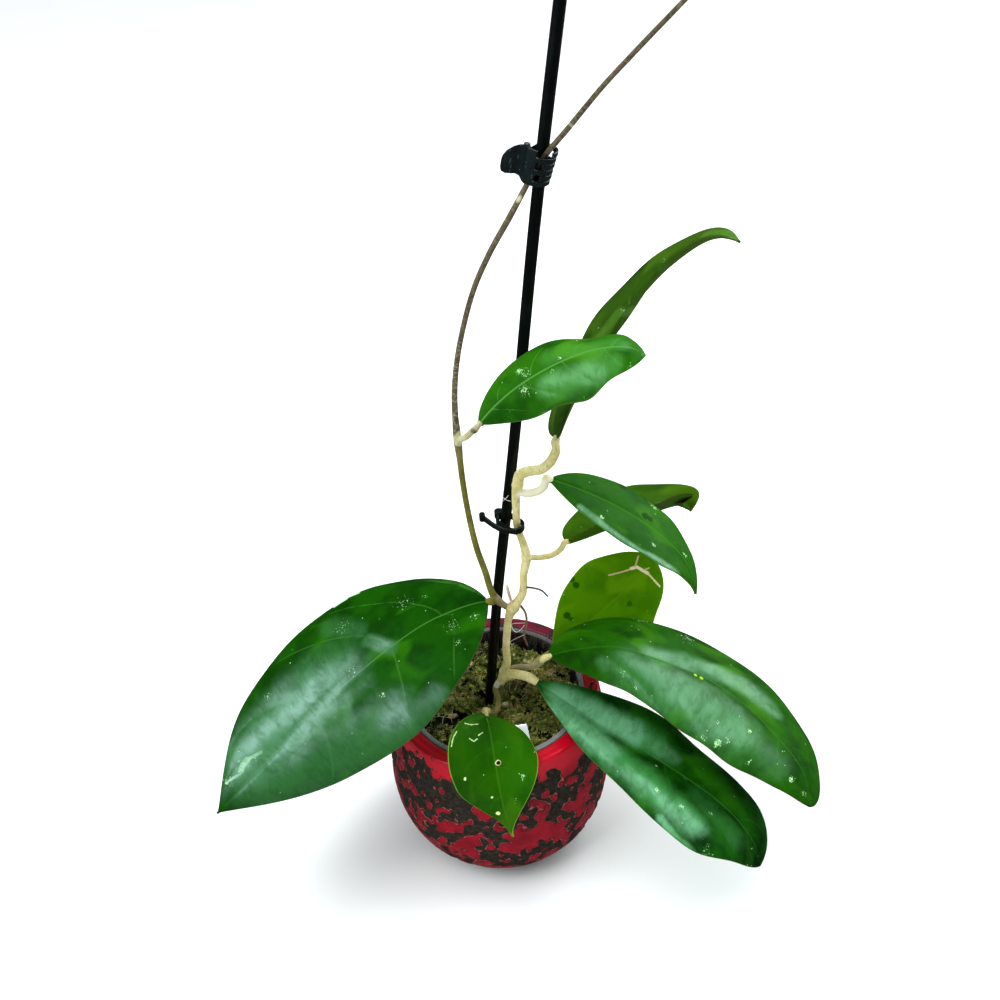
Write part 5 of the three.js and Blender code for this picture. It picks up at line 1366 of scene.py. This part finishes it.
def make_moss_bits(draw):
    tan = husk_material("husk_skin", (132, 98, 52), (214, 188, 132))
    brown = husk_material("chip_skin", (78, 52, 26), (160, 122, 74))
    white = husk_material("fibre_skin", (168, 160, 116), (226, 220, 190))
    husks = [chip(draw, on_moss((x, y), 0.6), size, math.radians(turn)) for x, y, *size, turn in HUSKS]
    beads = [ball(on_moss((x, y), 0.8), radius, stretch=(1.1, 0.9, 0.8)) for x, y, radius in BEADS]
    chips = []
    for _ in range(CHIPS):
        x, y = random_place(draw, CHIP_REACH)
        size = [draw.uniform(*limits) for limits in CHIP_SIZES]
        middle = np.array([x, y, moss_top(x, y) + draw.uniform(-0.9, 0.4)])
        chips.append(chip(draw, middle, size, draw.uniform(0, math.pi)))
    routes = [[[*on_moss(pixel, 1.4), PALE_FIBRE_RADIUS] for pixel in pixels] for pixels in PALE_FIBRES]
    fibres = [tube(route, 5, 4) for route in routes] + [fibre(draw) for _ in range(FIBRES)]
    for name, parts, material in (("moss_husks", husks, tan), ("moss_beads", beads, white),
                                  ("moss_chips", chips, brown), ("moss_fibres", fibres, white)):
        made = mesh_object(name, *joined_parts(parts), smooth=name != "moss_chips")
        dress(made, material, PLANT, "moss_mix")


def sprig(draw, foot, heading, length, leaflets):
    """A small moss shoot: narrow pointed leaflets in a spiral round a bent axis."""
    points = []
    faces = []
    sideways = unit(np.cross(heading, [0, 0, 1.0]) + 1e-6)
    other = np.cross(heading, sideways)
    bend = draw.uniform(-0.35, 0.35) * sideways + draw.uniform(-0.25, 0.1) * np.array([0, 0, 1.0])
    spin = draw.uniform(0, 2 * math.pi)
    for i in range(leaflets):
        share = (i + 0.5) / leaflets
        base = foot + heading * length * share + bend * length * share ** 2
        angle = spin + i * LEAFLET_TURN
        out = math.cos(angle) * sideways + math.sin(angle) * other
        lean = out * (0.95 - 0.45 * share) + heading * 0.75
        reach = draw.uniform(*LEAFLET_LENGTHS) * (1.1 - 0.4 * share)
        wide = np.cross(lean, out + heading * 0.1)
        wide = wide / (np.linalg.norm(wide) + 1e-9) * draw.uniform(*LEAFLET_HALF_WIDTHS)
        middle = base + lean * reach * 0.45
        tip = base + lean * reach - np.array([0, 0, 0.18]) * reach
        start = len(points)
        points += [base, middle - wide, tip, middle + wide]
        faces += [(start, start + 1, start + 2), (start, start + 2, start + 3)]
    return points, faces


def moss_mound():
    rings = []
    for radius in np.linspace(0.3, MOSS_RADIUS, 60):
        ring = circle(radius, 0, MOSS_SIDES)
        x, y, _ = ring.T
        rough = 0.7 * np.sin(1.7 * x + 0.9 * y) * np.cos(1.3 * y - 0.6 * x) + 0.4 * np.sin(3.1 * x - 2.3 * y)
        ring[:, 2] = moss_top(x, y) - 1.4 + rough - 2.5 * np.clip((radius - 38) / 4, 0, 1)
        rings.append(ring)
    rings += [circle(radius, height, MOSS_SIDES) for radius, height in MOSS_FOOT]
    count = len(rings)
    faces = turned_over(ring_faces(count, MOSS_SIDES))
    faces.append(tuple(range(MOSS_SIDES)))
    faces.append(tuple(range((count - 1) * MOSS_SIDES, count * MOSS_SIDES))[::-1])
    return np.concatenate(rings), faces


def make_moss():
    draw = np.random.default_rng(MOSS_SEED)
    points, faces = moss_mound()
    mound = mesh_object("moss_mound", points, faces)
    add_vectors(mound, "sprig_tone", np.zeros((len(points), 3)))
    moss = moss_material()
    dress(mound, moss, PLANT, "moss_mix", "moss_and_bark_mix")

    parts = []
    tones = []
    for _ in range(CLUMPS):
        middle = random_place(draw, MOSS_RADIUS * 0.97)
        clump_tone = draw.uniform(0, 1)
        for _ in range(CLUMP_SPRIGS):
            away = draw.normal(0, CLUMP_SPREAD, 2)
            x, y = middle + away
            reach = math.hypot(x, y)
            if reach > MOSS_RADIUS:
                x, y = x * MOSS_RADIUS / reach, y * MOSS_RADIUS / reach
            crown = 2.2 * math.exp(-(away @ away) / (2 * CLUMP_SPREAD ** 2))
            foot = np.array([x, y, moss_top(x, y) - 2 + crown - 1.5 * np.clip((reach - 39) / 3, 0, 1)])
            level = 0.5 * away / CLUMP_SPREAD + draw.normal(0, 0.4, 2)
            heading = unit(np.array([*level, draw.uniform(0.3, 1.0)]))
            leaflets = int(draw.integers(*SPRIG_LEAFLETS))
            parts.append(sprig(draw, foot, heading, draw.uniform(*SPRIG_LENGTHS), leaflets))
            tone = 0.65 * clump_tone + 0.35 * draw.uniform(0, 1)
            tones += [[tone, t, 0] for _ in range(leaflets) for t in (0, 0.3, 1, 0.3)]
    sprigs = mesh_object("moss_sprigs", *joined_parts(parts), smooth=False)
    add_vectors(sprigs, "sprig_tone", tones)
    dress(sprigs, moss, PLANT, "moss_mix")
    make_moss_bits(draw)


# Studio

FLOOR_SIZE = 14
FLOOR_DROP = 0.0006
WORLD_LIGHT = 0.42
WORLD_MIRRORED = 0.08
OVERHEAD_LIGHT = 1.6
OVERHEAD_PLACE = (-0.25, -0.1, 1.4)
OVERHEAD_SPREAD = math.radians(34)
OVERHEAD_COLOUR = (0.97, 0.99, 1.0)
PANEL_COLOUR = (0.92, 0.98, 1.0)
# The two soft panels that the leaves mirror: name, place, target, width and length in metres, and power
# in watts
PANELS = [
    ("left_panel", (-0.75, -0.375, 1.0), (-0.06, -0.03, 0.15), 0.78, 0.78, 9.5),
    ("right_panel", (0.82, 0.46, 0.83), (0.09, -0.02, 0.105), 0.95, 1.35, 20.5),
]


def lamp(name, kind, place, target, **settings):
    data = bpy.data.lights.new(name, kind)
    for key, value in settings.items():
        setattr(data, key, value)
    light = new_object(name, data)
    light.location = place
    light.rotation_euler = (Vector(target) - Vector(place)).to_track_quat("-Z", "Y").to_euler()
    return light


def make_studio():
    bpy.ops.mesh.primitive_plane_add(size=FLOOR_SIZE, location=(0, 0, -FLOOR_DROP))
    floor = bpy.context.active_object
    floor.name = "floor"
    paint = Skin("pale_floor")
    colour = paint.blend(paint.noise(paint.place, 0.004, 2.0), (0.9, 0.9, 0.9, 1), (0.93, 0.93, 0.93, 1))
    floor.data.materials.append(paint.finish(colour, 0.9, Specular_IOR_Level=0.0))
    floor.visible_glossy = False

    world = bpy.data.worlds.new("studio")
    world.use_nodes = True
    paint = Paint(world.node_tree)
    seen = paint.add("ShaderNodeLightPath", {}, "Is Camera Ray")
    mirrored = paint.add("ShaderNodeLightPath", {}, "Is Glossy Ray")
    strength = paint.value(mirrored, paint.value(seen, WORLD_LIGHT, 1.0), WORLD_MIRRORED)
    paint.fill(world.node_tree.nodes["Background"], {"Color": (0.95, 0.98, 1.0, 1), "Strength": strength})
    bpy.context.scene.world = world

    overhead = lamp("overhead", "SUN", OVERHEAD_PLACE, (0, 0, 0), energy=OVERHEAD_LIGHT,
                    angle=OVERHEAD_SPREAD, color=OVERHEAD_COLOUR)
    overhead.visible_glossy = False
    for name, place, target, width, length, power in PANELS:
        lamp(name, "AREA", place, target, shape="RECTANGLE", size=width, size_y=length, energy=power,
             color=PANEL_COLOUR)
    bpy.context.scene.view_settings.view_transform = "Standard"
    bpy.context.scene.view_settings.look = "None"


make_camera()
make_leaves()
make_stems()
make_stake()
make_clips()
make_label()
make_cachepot()
make_liner()
make_moss()
make_studio()
